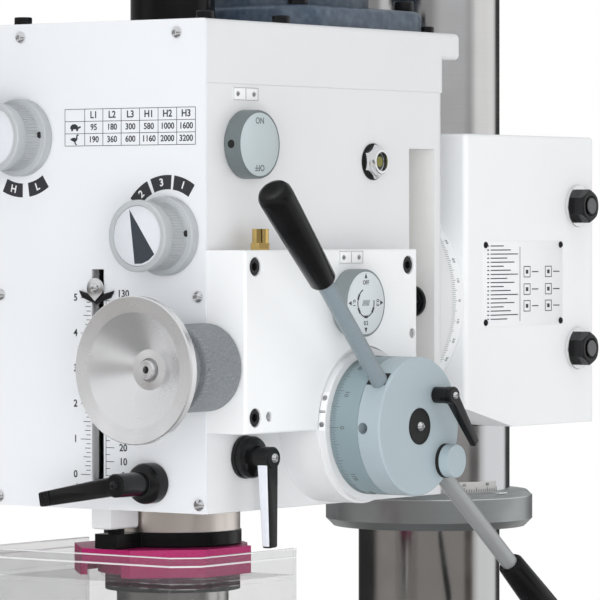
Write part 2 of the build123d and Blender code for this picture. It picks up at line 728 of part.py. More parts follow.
def tilt_nuts():
    bolts = []
    for sx in (-1, 1):
        x = sx * swivel_slot_d / 2
        bolt = rod_y(pocket_y1 - 14, seat_y + 8, x, tilt_z, swivel_bolt_d)
        bolt += rod_y(seat_y + 7, seat_y + 7 + swivel_head, x, tilt_z, swivel_bolt_d + 6)
        bolt += rod_y(pocket_y1 - 3, pocket_y1, x, tilt_z, 2.4 * swivel_bolt_d)
        nut = extrude(RegularPolygon(0.85 * swivel_bolt_d, 6, major_radius=False), 9)
        bolt += Pos(x, pocket_y1 - 3, tilt_z) * Rot(90, 0, 0) * nut
        bolts.append(bolt)
    return bolts


save("feed_box", feed_box())
save("oil_cup", oil_cup())
save("sight_glass", sight_glass())
save("tilt_nuts", *tilt_nuts())


# Motor on the cover, its rotor, the layshaft and the gear that drives the spindle
flange_top = cover_top + motor_flange
motor_top = flange_top + motor_length
rotor_bore = 100.0
wheel_z = head_bottom + 258.0
pinion_gear_z = head_bottom + 222.0


def motor_body():
    w = motor_flange_width / 2
    body = block(-w, w, motor_y - w, motor_y + w, cover_top, flange_top)
    body = fillet(body.edges().filter_by(Axis.Z), motor_flange_corner)
    body = fillet(body.faces().sort_by(Axis.Z)[-1].edges(), 5)
    body += rod_z(flange_top - 1, motor_top, 0, motor_y, motor_d - 24)
    fins = 24
    for i in range(fins):
        fin = block(motor_d / 2 - 16, motor_d / 2, -2, 2, flange_top + 18, motor_top - 8)
        body += Pos(0, motor_y, 0) * Rot(0, 0, i * 360 / fins + 7.5) * fin
    body -= rod_z(flange_top + 20, motor_top - 14, 0, motor_y, rotor_bore)
    body -= rod_z(cover_top - 1, motor_top + 1, 0, motor_y, motor_shaft_d + 2 * fit)
    return body


def fan_cover():
    cup = rod_z(motor_top, motor_top + fan_cover_length, 0, motor_y, motor_d)
    cup = fillet(cup.edges().sort_by(Axis.Z)[-1], 5)
    cup -= rod_z(motor_top - 1, motor_top + fan_cover_length - 3, 0, motor_y, motor_d - 6)
    top = motor_top + fan_cover_length
    for ring in range(4):
        r = 20 + 13 * ring
        slots = rod_z(top - 6, top + 1, 0, motor_y, 2 * r + 7)
        slots -= rod_z(top - 7, top + 2, 0, motor_y, 2 * r)
        slots -= Pos(0, motor_y, top) * Rot(0, 0, 45) * Box(200, 10, 30)
        slots -= Pos(0, motor_y, top) * Rot(0, 0, -45) * Box(200, 10, 30)
        cup -= slots
    rim = rod_z(motor_top, motor_top + 10, 0, motor_y, motor_d - 6)
    rim -= rod_z(motor_top - 1, motor_top + 11, 0, motor_y, motor_d - 26)
    return cup + rim


def terminal_box():
    x1 = -motor_d / 2
    body = block(x1 - 46, x1, motor_y - 50, motor_y + 50, flange_top + 60, flange_top + 160)
    body = fillet(body.edges().filter_by(Axis.X), 8)
    body = fillet(body.faces().sort_by(Axis.X)[0].edges(), 4)
    hollow = block(x1 - 40, x1 - 8, motor_y - 42, motor_y + 42, flange_top + 68, flange_top + 152)
    return body - hollow


def motor_rotor():
    shaft = rod_z(wheel_z - 6, motor_top + 24, 0, motor_y, motor_shaft_d)
    beta = math.degrees(math.atan2(lay_y - motor_y, lay_x))
    gear = gear_z(gear_module, motor_teeth, beta, 0, motor_y, wheel_z, wheel_z + gear_face)
    core = rod_z(flange_top + 40, motor_top - 40, 0, motor_y, rotor_bore - 6)
    fan = rod_z(motor_top + 14, motor_top + 22, 0, motor_y, 60)
    for i in range(6):
        blade = block(24, 62, -1.5, 1.5, motor_top + 14, motor_top + 40)
        fan += Pos(0, motor_y, 0) * Rot(0, 0, i * 60) * blade
    return shaft + gear + core + fan


def layshaft_gears():
    shaft = rod_z(shelf_z + 0.5, housing_top + 10, lay_x, lay_y, lay_d)
    to_motor = math.degrees(math.atan2(motor_y - lay_y, -lay_x))
    to_spindle = math.degrees(math.atan2(spindle_y - lay_y, -lay_x))
    big = gear_z(gear_module, lay_wheel_teeth, to_motor + 180 / lay_wheel_teeth, lay_x, lay_y,
                 wheel_z + run, wheel_z + gear_face - run)
    small = gear_z(gear_module, lay_pinion_teeth, to_spindle, lay_x, lay_y,
                   pinion_gear_z, pinion_gear_z + gear_face)
    hub = rod_z(shelf_z + shelf_thick + run, housing_top - run, lay_x, lay_y, lay_d + 12)
    return shaft + big + small + hub


def spindle_gear():
    to_lay = math.degrees(math.atan2(lay_y - spindle_y, lay_x))
    gear = gear_z(gear_module, spindle_teeth, to_lay + 180 / spindle_teeth, 0, spindle_y,
                  pinion_gear_z + run, pinion_gear_z + gear_face - run)
    gear += rod_z(shelf_z + 0.5, pinion_gear_z + gear_face, 0, spindle_y, sleeve_spigot_d)
    gear += rod_z(pinion_gear_z, housing_top + 12, 0, spindle_y, 40)
    gear += rod_z(housing_top - 6, housing_top + 12, 0, spindle_y, sleeve_spigot_d)
    gear -= spline(shelf_z - 1, housing_top + 20, 0.2)
    return gear


def spline(z0, z1, gap):
    bar = rod_z(z0, z1, 0, spindle_y, spline_d + 2 * gap)
    reach = spline_d / 2 + 3 + gap
    for i in range(2):
        key = Box(2 * reach, spline_key + 2 * gap, z1 - z0)
        bar += Pos(0, spindle_y, (z0 + z1) / 2) * Rot(0, 0, 90 * i) * key
    return bar


save("motor_body", motor_body())
save("fan_cover", fan_cover())
save("terminal_box", terminal_box())
save("motor_rotor", motor_rotor())
save("layshaft_gears", layshaft_gears())
save("spindle_gear", spindle_gear())


# Quill, spindle and chuck
quill_z0 = head_bottom + quill_low
quill_z1 = head_bottom + quill_high
bearing_d = 62.0
bearing_width = 18.0
nose_z = quill_z0 - 28.0
spline_top = cover_top + 34.0
pointer_z = head_bottom + 157.0


def quill_sleeve():
    body = rod_z(quill_z0, quill_z1, 0, spindle_y, quill_d)
    body -= rod_z(quill_z0 - 1, quill_z1 + 1, 0, spindle_y, spindle_d + 6)
    for z0, z1 in ((quill_z0 - 1, quill_z0 + bearing_width), (quill_z1 - bearing_width, quill_z1 + 1)):
        body -= rod_z(z0, z1, 0, spindle_y, bearing_d + 2 * seat)
    # Rack on the rear of the quill
    pitch = math.pi * quill_module
    slope = math.tan(math.radians(20))
    pitch_y = spindle_y + quill_r - quill_pitch_depth
    tip_y = pitch_y + 0.9 * quill_module
    root_y = pitch_y - 1.25 * quill_module
    side = 17.0
    low = feed_z - 2.5 * pitch
    body -= block(-side, side, tip_y, spindle_y + quill_r + 1, low, quill_z1 + 1)
    wide = pitch / 4 + 0.9 * quill_module * slope + 0.15
    deep = pitch / 4 - 1.25 * quill_module * slope + 0.15
    count = int((quill_z1 - feed_z) / pitch)
    for i in range(-2, count + 2):
        z = feed_z + i * pitch
        outline = Polyline((tip_y + 1, z - wide), (tip_y, z - wide), (root_y, z - deep), (root_y, z + deep),
                           (tip_y, z + wide), (tip_y + 1, z + wide), close=True)
        groove = extrude(Plane.YZ * make_face(outline), 2 * side, dir=(1, 0, 0))
        body -= Pos(-side, 0, 0) * groove
    body -= rod_y(spindle_y - quill_r - 1, spindle_y - quill_r + 8, 0, pointer_z, 6 + 2 * seat)
    return body


def depth_pointer():
    stem = rod_y(panel_y - 1, spindle_y - quill_r + 7, 0, pointer_z, 6)
    outline = Polyline((-16, 5), (-16, -1), (-6, -10), (6, -10), (16, -1), (16, 5), (7, -1), (-7, -1),
                       close=True)
    wings = extrude(Plane.XZ * make_face(outline), 2, dir=(0, -1, 0))
    disc = rod_y(panel_y - 4.5, panel_y - 0.5, 0, pointer_z + 2, 15)
    return stem + Pos(0, panel_y - 0.5, pointer_z) * wings + disc


def spindle_bearings():
    rings = []
    for z in (quill_z0, quill_z1 - bearing_width):
        ring = rod_z(z, z + bearing_width, 0, spindle_y, bearing_d)
        rings.append(ring - rod_z(z - 1, z + bearing_width + 1, 0, spindle_y, spindle_d + 2 * fit))
    return rings


def spindle_shaft():
    body = rod_z(quill_z0 - run, quill_z1 + 1, 0, spindle_y, spindle_d)
    body += rod_z(nose_z, quill_z0 - run, 0, spindle_y, 60)
    body += spline(quill_z1, spline_top, 0)
    taper = Pos(0, spindle_y, nose_z) * Cone(15.6, 12.7, 110, align=(Align.CENTER, Align.CENTER, Align.MIN))
    body -= taper
    body -= block(-4, 4, spindle_y - 25, spindle_y + 25, nose_z + 80, nose_z + 110)
    return body


cap_d = 62.0
cap_height = 44.0


def spindle_cap():
    cap = rod_z(cover_top, cover_top + cap_height, 0, spindle_y, cap_d)
    cap = fillet(cap.edges().sort_by(Axis.Z)[-1], 6)
    return cap - rod_z(cover_top - 1, cover_top + cap_height - 4, 0, spindle_y, cap_d - 8)


save("quill_sleeve", quill_sleeve())
save("depth_pointer", depth_pointer())
save("spindle_bearings", *spindle_bearings())
save("spindle_shaft", spindle_shaft())
save("spindle_cap", spindle_cap())


# Chuck guard below the head: fixed rings, a swinging bracket and a clear shield
collar_z = head_bottom - boss_drop
ring_z = collar_z - 10.5
ring_low = head_bottom - 62.0
lug_half = 10.0
bracket_z = ring_z - run
bracket_low = bracket_z - 20.0
bracket_half = 61.0
bracket_front = 78.0
bracket_rear = 14.5
bracket_cut = 39.0
bracket_plate = 6.0
bracket_wall = 5.0
guard_top = head_bottom - 30.0
guard_height = 150.0
guard_half = 98.0
guard_front = 108.0
guard_rear = 20.0
guard_wall = 3.0
guard_corner = 16.0
guard_bore = 86.0


def guard_collar():
    ring = rod_z(ring_z, collar_z, 0, spindle_y, boss_d + 2)
    ring = fillet(ring.edges().filter_by(GeomType.CIRCLE), 1)
    # A lug at the front hangs on a pin below the foot of the casting.
    front = foot_y0 + 5
    ring += block(-lug_half, lug_half, front, spindle_y - guard_bore / 2 - 4, ring_z, collar_z)
    ring += rod_z(collar_z - 1, foot_z, 0, front + 12, 12)
    return ring - rod_z(ring_z - 1, collar_z + 1, 0, spindle_y, guard_bore)


def guard_ring():
    ring = rod_z(ring_low, ring_z, 0, spindle_y, boss_d)
    return ring - rod_z(ring_low - 1, ring_z + 1, 0, spindle_y, guard_bore)


def bracket_outline(inset, z0, z1):
    x = bracket_half - inset
    y0 = spindle_y - bracket_front + inset
    y1 = spindle_y + bracket_rear - inset
    cut = bracket_cut - 0.6 * inset
    points = [(-x, y1), (-x, y0 + cut), (-x + cut, y0), (x - cut, y0), (x, y0 + cut), (x, y1)]
    return Pos(0, 0, z0) * extrude(make_face(Polyline(*points, close=True)), z1 - z0)


def guard_bracket():
    eye = rod_z(bracket_low, bracket_z, 0, spindle_y, boss_d + 2 * run + 2 * bracket_wall)
    body = bracket_outline(0, bracket_low, bracket_z)
    body -= bracket_outline(bracket_wall, bracket_low - 1, bracket_z - bracket_plate)
    body += eye
    body -= rod_z(bracket_low - 1, bracket_z + 1, 0, spindle_y, boss_d + 2 * run)
    front = spindle_y - bracket_front
    return body - block(-30, 14, front - 1, front + 2 * bracket_wall, bracket_low - 1, bracket_low + 9)


def guard_outline(inset):
    # Three panes seen from above, open to the rear, with cut corners at the front.
    x = guard_half - inset
    y0 = spindle_y - guard_front + inset
    y1 = spindle_y + guard_rear
    cut = guard_corner - 0.4 * inset
    return [(-x, y1 + inset), (-x, y0 + cut), (-x + cut, y0), (x - cut, y0), (x, y0 + cut), (x, y1 + inset)]


def guard_shield():
    low = guard_top - guard_height
    shell = extrude(make_face(Polyline(*guard_outline(0), close=True)), guard_height)
    core = extrude(make_face(Polyline(*guard_outline(guard_wall), close=True)), guard_height + 2)
    body = Pos(0, 0, low) * shell - Pos(0, 0, low - 1) * core
    # A clear web under the bracket carries the panes.
    web = extrude(make_face(Polyline(*guard_outline(guard_wall / 2), close=True)), guard_wall)
    web = Pos(0, 0, bracket_low - guard_wall) * web
    web &= block(-guard_half, guard_half, spindle_y - guard_front, spindle_y + guard_rear, low, guard_top)
    return body + (web - rod_z(low, guard_top, 0, spindle_y, boss_d + 6))


save("guard_collar", guard_collar())
save("guard_ring", guard_ring())
save("guard_bracket", guard_bracket())
save("guard_shield", guard_shield())


# Quill feed: drum, pinion shaft, levers, worm wheel and return spring
lever_x = drum_face - 13.0
hub_clamp_y = feed_y + 20.0
hub_clamp_z = feed_z + 22.0


def feed_pinion():
    shaft = rod_x(-half - spring_cup + 6, drum_face - 8, feed_y, feed_z, feed_shaft_d)
    # A tooth points at the quill, which lies towards -Y.
    return shaft + gear_x(quill_module, feed_teeth, 180, -16, 16, feed_y, feed_z)


def feed_scale_ring():
    ring = rod_x(ring_back, ring_back + ring_length, feed_y, feed_z, drum_d)
    return ring - rod_x(ring_back - 1, ring_back + ring_length + 1, feed_y, feed_z, ring_bore + 2 * fit)


def feed_hub():
    body = rod_x(drum_back, drum_face, feed_y, feed_z, drum_d)
    body = fillet(body.edges().filter_by(GeomType.CIRCLE).sort_by(Axis.X)[-1], 1.5)
    body += rod_x(ring_back, drum_back, feed_y, feed_z, ring_bore)
    body -= rod_x(ring_back - 1, drum_face - 8, feed_y, feed_z, feed_shaft_d + 2 * seat)
    for turn in (0, 180):
        body -= lever_frame(turn) * Pos(0, 0, 60) * Cylinder(lever_d / 2 + seat, 2 * (60 - lever_root))
    body -= rod_y(feed_y - drum_d, feed_y - drum_d / 2 + 12, drum_back + 4.5, feed_z, 8)
    body += button()
    return body - hub_clamp_bore()


def lever_frame(turn):
    # Local Z runs along the lever, away from the feed shaft.
    return Pos(lever_x, feed_y, feed_z) * Rot(lever_angle - 90 + turn, 0, 0) * Rot(0, lever_lean, 0)


def button():
    y = feed_y + 32
    z = feed_z - 26
    return rod_x(drum_face - 2, drum_face + 10.5, y, z, 24)


def hub_clamp_bore():
    return rod_x(drum_face - 14, drum_face + 1, hub_clamp_y, hub_clamp_z, 8 + 2 * fit)


def feed_levers():
    rods = []
    for turn in (0, 180):
        length = lever_reach - 40 - lever_root
        rod = Cylinder(lever_d / 2, length, align=(Align.CENTER, Align.CENTER, Align.MIN))
        rods.append(lever_frame(turn) * Pos(0, 0, lever_root + seat) * rod)
    return rods


def feed_grips():
    start = lever_reach - grip_length
    outline = Polyline((0, 0), (8, 0), (9.5, 2), (grip_d / 2, grip_length - 6),
                       (grip_d / 2 - 4, grip_length), (0, grip_length), close=True)
    grip = revolve(Plane.XZ * make_face(outline), Axis.Z)
    grip -= Cylinder(lever_d / 2 + seat, 2 * (lever_reach - 39.5 - start))
    return [lever_frame(turn) * Pos(0, 0, start) * grip for turn in (0, 180)]


def hub_clamp_lever():
    stud = rod_x(drum_face - 13, drum_face + run, hub_clamp_y, hub_clamp_z, 8)
    hub = rod_x(drum_face + run, drum_face + 17.5, hub_clamp_y, hub_clamp_z, 12)
    arm = Polyline((-4, 0), (-3, -46), (3, -46), (4, 0), close=True)
    bar = extrude(Plane.YZ * make_face(arm), 6, dir=(1, 0, 0))
    swing = Pos(drum_face + 11, hub_clamp_y, hub_clamp_z) * Rot(40, 0, 0)
    return stud + hub + swing * bar


def worm_wheel():
    x0 = worm_x - 7
    x1 = worm_x + 7
    gear = gear_x(worm_module, worm_wheel_teeth, 90, x0, x1, feed_y, feed_z)
    gear += rod_x(x0 - 4, x1 + 6, feed_y, feed_z, 36)
    return gear - rod_x(x0 - 10, x1 + 10, feed_y, feed_z, feed_shaft_d + 2 * fit)


def return_spring():
    # Flat spiral spring: half rings whose radius grows by half the pitch at each half turn.
    x0 = -half - spring_cup + 9
    pitch = 4.2
    strip = 1.4
    width = 14.0
    coil = None
    for i in range(12):
        r = feed_shaft_d / 2 + 0.6 + i * pitch / 2
        shift = pitch / 2 if i % 2 else 0
        ring = Cylinder(r + strip, width) - Cylinder(r, width + 2)
        side = Pos(0, -100 if i % 2 else 100, 0) * Box(300, 200, 300)
        piece = Pos(shift, 0, 0) * (ring & side)
        coil = piece if coil is None else coil + piece
    return Pos(x0 + width / 2, feed_y, feed_z) * Rot(0, 90, 0) * coil


def spring_cover():
    x1 = -half - spring_cup
    disc = rod_x(x1 - 5, x1, feed_y, feed_z, spring_cup_d)
    return fillet(disc.edges().sort_by(Axis.X)[0], 3)


save("feed_pinion", feed_pinion())
save("feed_scale_ring", feed_scale_ring())
save("feed_hub", feed_hub())
save("feed_levers", *feed_levers())
save("feed_grips", *feed_grips())
save("hub_clamp_lever", hub_clamp_lever())
save("worm_wheel", worm_wheel())
save("return_spring", return_spring())
save("spring_cover", spring_cover())


# Fine feed: dished handwheel, graduated dial and worm shaft
wheel_y = panel_y - wheel_reach
dial_y1 = panel_y - run
dial_y0 = dial_y1 - dial_length


def fine_feed_wheel():
    r = wheel_d / 2
    bore = worm_shaft_d / 2 + seat
    outline = Polyline((bore, dial_y0), (26, dial_y0), (28, dial_y0 - 4), (r - 2, wheel_y + 8),
                       (r, wheel_y + 6), (r, wheel_y + 1), (r - 1, wheel_y), (r - 12, wheel_y),
                       (16, wheel_y + 19), (bore, wheel_y + 19), close=True)
    return Pos(worm_x, 0, worm_z) * revolve(make_face(outline), Axis.Y)


def fine_feed_dial():
    body = rod_y(dial_y0, dial_y1, worm_x, worm_z, dial_d)
    body = fillet(body.edges().filter_by(GeomType.CIRCLE), 1.5)
    return body - rod_y(dial_y0 - 1, dial_y1 + 1, worm_x, worm_z, worm_shaft_d + 2 * seat)


def worm_shaft():
    y1 = panel_y + box_front + box_length - 1
    shaft = rod_y(wheel_y + 18, y1, worm_x, worm_z, worm_shaft_d)
    lead = math.pi * worm_module
    root = worm_r - 1.2 * worm_module
    span = 36.0
    core = rod_y(feed_y - span / 2 - 4, feed_y + span / 2 + 4, worm_x, worm_z, 2 * root)
    turns = int(span / lead)
    height = turns * lead
    path = Helix(lead, height, root)
    tip = worm_r + 0.8 * worm_module
    low = lead * 0.22
    high = lead * 0.12
    depth = tip - root
    outline = Polyline((-0.4, -low), (-0.4, low), (depth, high), (depth, -high), close=True)
    section = Plane(origin=(root, 0, 0), x_dir=(1, 0, 0), z_dir=(0, -1, 0)) * make_face(outline)
    thread = sweep(section, path=path, is_frenet=True)
    # The helix starts on local X, which is turned to face down, half a lead from a tooth of the wheel.
    place = Pos(worm_x, feed_y - height / 2, worm_z) * Rot(-90, 0, 0) * Rot(0, 0, 90)
    shift = 0 if turns % 2 else lead / 2
    return shaft + core + Pos(0, shift, 0) * place * thread


save("fine_feed_wheel", fine_feed_wheel())
save("fine_feed_dial", fine_feed_dial())
save("worm_shaft", worm_shaft())


# Knobs and clamping levers of the head
def selector_knob(x, z):
    # Cast base ring, knurled grip and a rim round the pointer disc; the shaft ends inside the front wall.
    y = panel_y - run
    shaft = rod_y(y, casting_y + head_wall + 6, x, z, knob_shaft_d)
    base = rod_y(y - 9, y, x, z, 56)
    base = fillet(base.edges().filter_by(GeomType.CIRCLE).sort_by(Axis.Y)[0], 2)
    grip = rod_y(y - 30, y - 9, x, z, 49)
    rim = rod_y(y - 36, y - 30, x, z, 51)
    rim = fillet(rim.edges().filter_by(GeomType.CIRCLE), 1.2)
    body = shaft + base + grip + rim
    return body - rod_y(y - 37, y - 35, x, z, 42)


def side_knob(x, y, z, d, height, wall):
    shaft = rod_x(x - wall - 4, x + run, y, z, knob_shaft_d)
    body = rod_x(x + run, x + height, y, z, d)
    body = fillet(body.edges().filter_by(GeomType.CIRCLE).sort_by(Axis.X)[-1], 1.5)
    return shaft + body


def quill_lock_lever():
    base = rod_y(panel_y - run - 14, panel_y - run, front_lock_x, front_lock_z, 29)
    base = fillet(base.edges().filter_by(GeomType.CIRCLE).sort_by(Axis.Y)[0], 3)
    stud = rod_y(panel_y - run - 1, casting_y + 40, front_lock_x, front_lock_z, lock_stud_d)
    neck = rod_y(panel_y - 44, panel_y - 14, front_lock_x, front_lock_z, 17)
    arm = Polyline((0, 7), (-68, 5), (-72, 3), (-72, -3), (-68, -5), (0, -7), close=True)
    bar = extrude(Plane.XZ * make_face(arm), 9, dir=(0, -1, 0))
    turn = Pos(front_lock_x, panel_y - 34, front_lock_z) * Rot(0, -10, 0)
    return base + stud + neck + turn * bar


def side_lock_lever():
    base = rod_x(half + run, half + 12, side_lock_y, side_lock_z, 30)
    stud = rod_x(half - 28, half + 1, side_lock_y, side_lock_z, lock_stud_d)
    neck = rod_x(half + 11, half + 27.5, side_lock_y, side_lock_z, 16)
    arm = Polyline((-6, 0), (-4.5, -61), (-3, -64), (3, -64), (4.5, -61), (6, 0), close=True)
    bar = extrude(Plane.YZ * make_face(arm), 9, dir=(1, 0, 0))
    return base + stud + neck + Pos(half + 16.5, side_lock_y, side_lock_z) * bar


save("range_knob", selector_knob(range_knob_x, range_knob_z))
save("speed_knob", selector_knob(speed_knob_x, speed_knob_z))
save("feed_on_knob", side_knob(half, feed_on_y, feed_on_z, 49, 14, head_wall))
save("feed_rate_knob", side_knob(box_x, rate_y, rate_z, 49, 14, box_wall))
save("quill_lock_lever", quill_lock_lever())
save("side_lock_lever", side_lock_lever())


# Switch box on the left side of the head
switch_width = 62.0
switch_y0 = panel_y + 22.0
switch_y1 = panel_y + 150.0
switch_z0 = head_bottom + 150.0
switch_z1 = head_bottom + 300.0
switch_x = -half - switch_width / 2
estop_z = head_bottom + 262.0
mode_z = head_bottom + 196.0
estop_travel = 6.0


def switch_box():
    body = block(-half - switch_width, -half, switch_y0, switch_y1, switch_z0, switch_z1)
    body = fillet(body.edges().filter_by(Axis.Y), 6)
    body = fillet(body.faces().sort_by(Axis.Y)[0].edges(), 3)
    body -= block(-half - switch_width + 3, -half - 3, switch_y0 + 3, switch_y1 - 3,
                  switch_z0 + 3, switch_z1 - 3)
    body -= rod_y(switch_y0 - 1, switch_y0 + 4, switch_x, estop_z, 22 + 2 * fit)
    body -= rod_y(switch_y0 - 1, switch_y0 + 4, switch_x, mode_z, 22 + 2 * fit)
    return body


def estop_button():
    y = switch_y0 - run - estop_travel
    stem = rod_y(y, switch_y0 + 16, switch_x, estop_z, 22)
    cap = rod_y(y - 12, y, switch_x, estop_z, 38)
    cap = fillet(cap.edges().filter_by(GeomType.CIRCLE).sort_by(Axis.Y)[0], 4)
    return stem + cap


def mode_switch():
    y = switch_y0 - run
    stem = rod_y(y, switch_y0 + 16, switch_x, mode_z, 22)
    ring = rod_y(y - 5, y, switch_x, mode_z, 36)
    wing = block(switch_x - 4, switch_x + 4, y - 18, y - 4, mode_z - 14, mode_z + 14)
    return stem + ring + wing


save("switch_box", switch_box())
save("estop_button", estop_button())
save("mode_switch", mode_switch())
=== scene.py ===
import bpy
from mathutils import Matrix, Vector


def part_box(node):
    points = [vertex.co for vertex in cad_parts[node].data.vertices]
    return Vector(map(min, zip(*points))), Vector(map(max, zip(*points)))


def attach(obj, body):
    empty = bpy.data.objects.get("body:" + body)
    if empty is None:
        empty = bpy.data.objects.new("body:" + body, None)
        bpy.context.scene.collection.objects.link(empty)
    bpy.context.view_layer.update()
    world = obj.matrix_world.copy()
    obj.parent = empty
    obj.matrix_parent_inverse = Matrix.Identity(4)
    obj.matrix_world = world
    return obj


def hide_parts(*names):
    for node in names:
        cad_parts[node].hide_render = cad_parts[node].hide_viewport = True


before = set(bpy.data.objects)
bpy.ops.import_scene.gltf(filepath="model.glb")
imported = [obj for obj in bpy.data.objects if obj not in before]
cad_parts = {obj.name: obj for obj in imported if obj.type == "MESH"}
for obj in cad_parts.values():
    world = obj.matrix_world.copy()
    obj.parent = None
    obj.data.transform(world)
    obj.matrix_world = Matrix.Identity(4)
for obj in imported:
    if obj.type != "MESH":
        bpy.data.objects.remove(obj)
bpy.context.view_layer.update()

from math import cos, radians, sin, sqrt

import bmesh
import bpy
from mathutils import Matrix, Vector

# The studio: a pale floor that runs out to white, and five soft lamps round and above the drill. The camera
# stands level on the right with a long lens. Polished parts mirror a room with a grey front, a pale top and
# right side, and a dark left side and back.
scene = bpy.context.scene
scene.view_settings.view_transform = "Standard"
bpy.ops.object.select_all(action="DESELECT")


def wire(node, sockets):
    for key, value in sockets.items():
        socket = node.inputs[key]
        if isinstance(value, bpy.types.NodeSocket):
            node.id_data.links.new(value, socket)
        else:
            socket.default_value = (*value, 1.0) if socket.type == "RGBA" else value


def add_node(tree, kind, sockets=None, **settings):
    made = tree.nodes.new(kind if kind.startswith("NodeGroup") else "ShaderNode" + kind)
    for key, value in settings.items():
        setattr(made, key, value)
    wire(made, sockets or {})
    return made


def maths(operation, *values):
    return add_node(values[0].id_data, "Math", dict(enumerate(values)), operation=operation).outputs[0]


def spread(value, start=0.0, full=1.0, low=0.0, high=1.0):
    limits = {"From Min": start, "From Max": full, "To Min": low, "To Max": high}
    return add_node(value.id_data, "MapRange", {"Value": value, **limits}).outputs[0]


def shown_white(tree):
    rays = add_node(tree, "LightPath").outputs
    return maths("MAXIMUM", rays["Is Camera Ray"], rays["Is Transmission Ray"])


white_room = bpy.data.worlds.new("white_room")
scene.world = white_room
white_room.use_nodes = True
room = white_room.node_tree
sky = room.nodes["Background"]
wire(sky, {"Color": (1, 1, 1), "Strength": spread(shown_white(room), low=0.50)})
way = add_node(room, "TexCoord").outputs["Generated"]
to_top, to_bottom = (0, 0, 1), (0, 0, -1)


def measure(operation, *vectors):
    sockets = dict(enumerate(vectors))
    return add_node(vectors[0].id_data, "VectorMath", sockets, operation=operation).outputs["Value"]


def mixed(share, first, second):
    return add_node(share.id_data, "MixRGB", {0: share, 1: first, 2: second}).outputs[0]


def wall(tone, towards, start, full, colour):
    return mixed(spread(measure("DOT_PRODUCT", way, towards), start, full), tone, colour)


low = wall((0.26, 0.245, 0.23), (0.57, 0.82, 0.0), 0.78, 0.93, (0.84, 0.85, 0.86))
low = wall(low, (-0.98, 0.12, 0.0), 0.74, 0.88, (0.03, 0.03, 0.03))
low = wall(low, (0.976, 0.208, 0.0), 0.980, 0.993, (0.08, 0.07, 0.065))
high = wall((0.33, 0.33, 0.34), (0.966, -0.259, 0.0), 0.80, 0.94, (0.66, 0.67, 0.69))
high = wall(high, (0.64, 0.77, 0.0), 0.80, 0.93, (1.0, 1.0, 1.0))
high = wall(high, (-0.588, -0.809, 0.0), 0.93, 0.98, (0.82, 0.82, 0.83))
tone = wall(low, to_top, -0.03, 0.03, high)
tone = wall(tone, (-0.26, 0.966, 0.0), 0.92, 0.96, (0.05, 0.05, 0.05))
tone = wall(tone, to_top, 0.08, 0.25, (0.74, 0.75, 0.76))
tone = wall(tone, to_bottom, 0.16, 0.30, (0.68, 0.68, 0.68))
tone = wall(tone, to_bottom, 0.45, 0.70, (0.20, 0.20, 0.20))
mirrored = add_node(room, "Background", {"Color": tone})
both = add_node(room, "MixShader", {0: add_node(room, "LightPath").outputs["Is Glossy Ray"],
                                    1: sky.outputs[0], 2: mirrored.outputs[0]})
wire(room.nodes["World Output"], {"Surface": both.outputs[0]})


def new_material(name):
    material = bpy.data.materials.new(name)
    material.use_nodes = True
    return material, material.node_tree, material.node_tree.nodes["Principled BSDF"]


def own_place(tree):
    return add_node(tree, "TexCoord").outputs["Object"]


bpy.ops.mesh.primitive_circle_add(vertices=96, radius=40.0, fill_type="NGON", location=(0, 0, -0.0005))
floor = bpy.context.object
floor.name = "studio_floor"
pale_floor, tree, shader = new_material("pale_floor")
wire(shader, {"Base Color": (0.86, 0.86, 0.86), "Roughness": 0.8})
fade_start, fade_full = 0.7, 2.4
fade = spread(measure("LENGTH", own_place(tree)), fade_start, fade_full)
white_share = maths("MULTIPLY", fade, shown_white(tree))
glow = add_node(tree, "Emission", {"Color": (1, 1, 1), "Strength": 1.0})
blend = add_node(tree, "MixShader", {0: white_share, 1: shader.outputs[0], 2: glow.outputs[0]})
wire(tree.nodes["Material Output"], {"Surface": blend.outputs[0]})
floor.data.materials.append(pale_floor)
floor.visible_glossy = False


def soft_lamp(name, place, aim, size, power):
    bpy.ops.object.light_add(type="AREA", location=place)
    lamp = bpy.context.object
    lamp.name = name
    lamp.data.shape = "SQUARE"
    lamp.data.size = size
    lamp.data.energy = power
    lamp.rotation_euler = (Vector(aim) - lamp.location).to_track_quat("-Z", "Y").to_euler()
    lamp.visible_camera = False
    lamp.visible_glossy = False


soft_lamp("lamp_right", (1.9, 0.7, 1.1), (0.1, -0.1, 1.4), 1.6, 8)
soft_lamp("lamp_front", (1.5, -2.9, 1.4), (0.0, -0.3, 1.4), 2.4, 58)
soft_lamp("lamp_low", (2.2, -2.0, 1.0), (0.1, -0.3, 1.35), 1.4, 12)
soft_lamp("lamp_above", (0.3, -0.4, 4.2), (0.0, -0.2, 1.3), 2.0, 26)
soft_lamp("lamp_left", (-2.6, 0.2, 1.6), (0.0, -0.1, 1.2), 2.0, 14)

bpy.ops.object.camera_add(location=(1.9458, -2.8120, 1.4916), rotation=(radians(90), 0, radians(36.4)))
camera = bpy.context.object
camera.data.sensor_width = 36.0
camera.data.lens = 258.0
camera.data.shift_y = -0.12
camera.data.clip_end = 200.0
scene.camera = camera

# The stand: a ribbed cast iron base with a flanged foot bolted on it, both painted, the base top milled.
# Paint is a sprayed coat with a fine grain; milled faces show straight cutter lines.


def new_group(name, inputs, outputs):
    group = bpy.data.node_groups.new(name, "ShaderNodeTree")
    for way_in, sockets in (("INPUT", inputs), ("OUTPUT", outputs)):
        for label, kind in sockets:
            group.interface.new_socket(label, in_out=way_in, socket_type="NodeSocket" + kind)
    return group, add_node(group, "NodeGroupInput").outputs, add_node(group, "NodeGroupOutput")


def noise(vector, scale, detail):
    sockets = {"Vector": vector, "Scale": scale, "Detail": detail}
    return add_node(vector.id_data, "TexNoise", sockets).outputs[0]


def axes_of(vector):
    return add_node(vector.id_data, "SeparateXYZ", {0: vector}).outputs


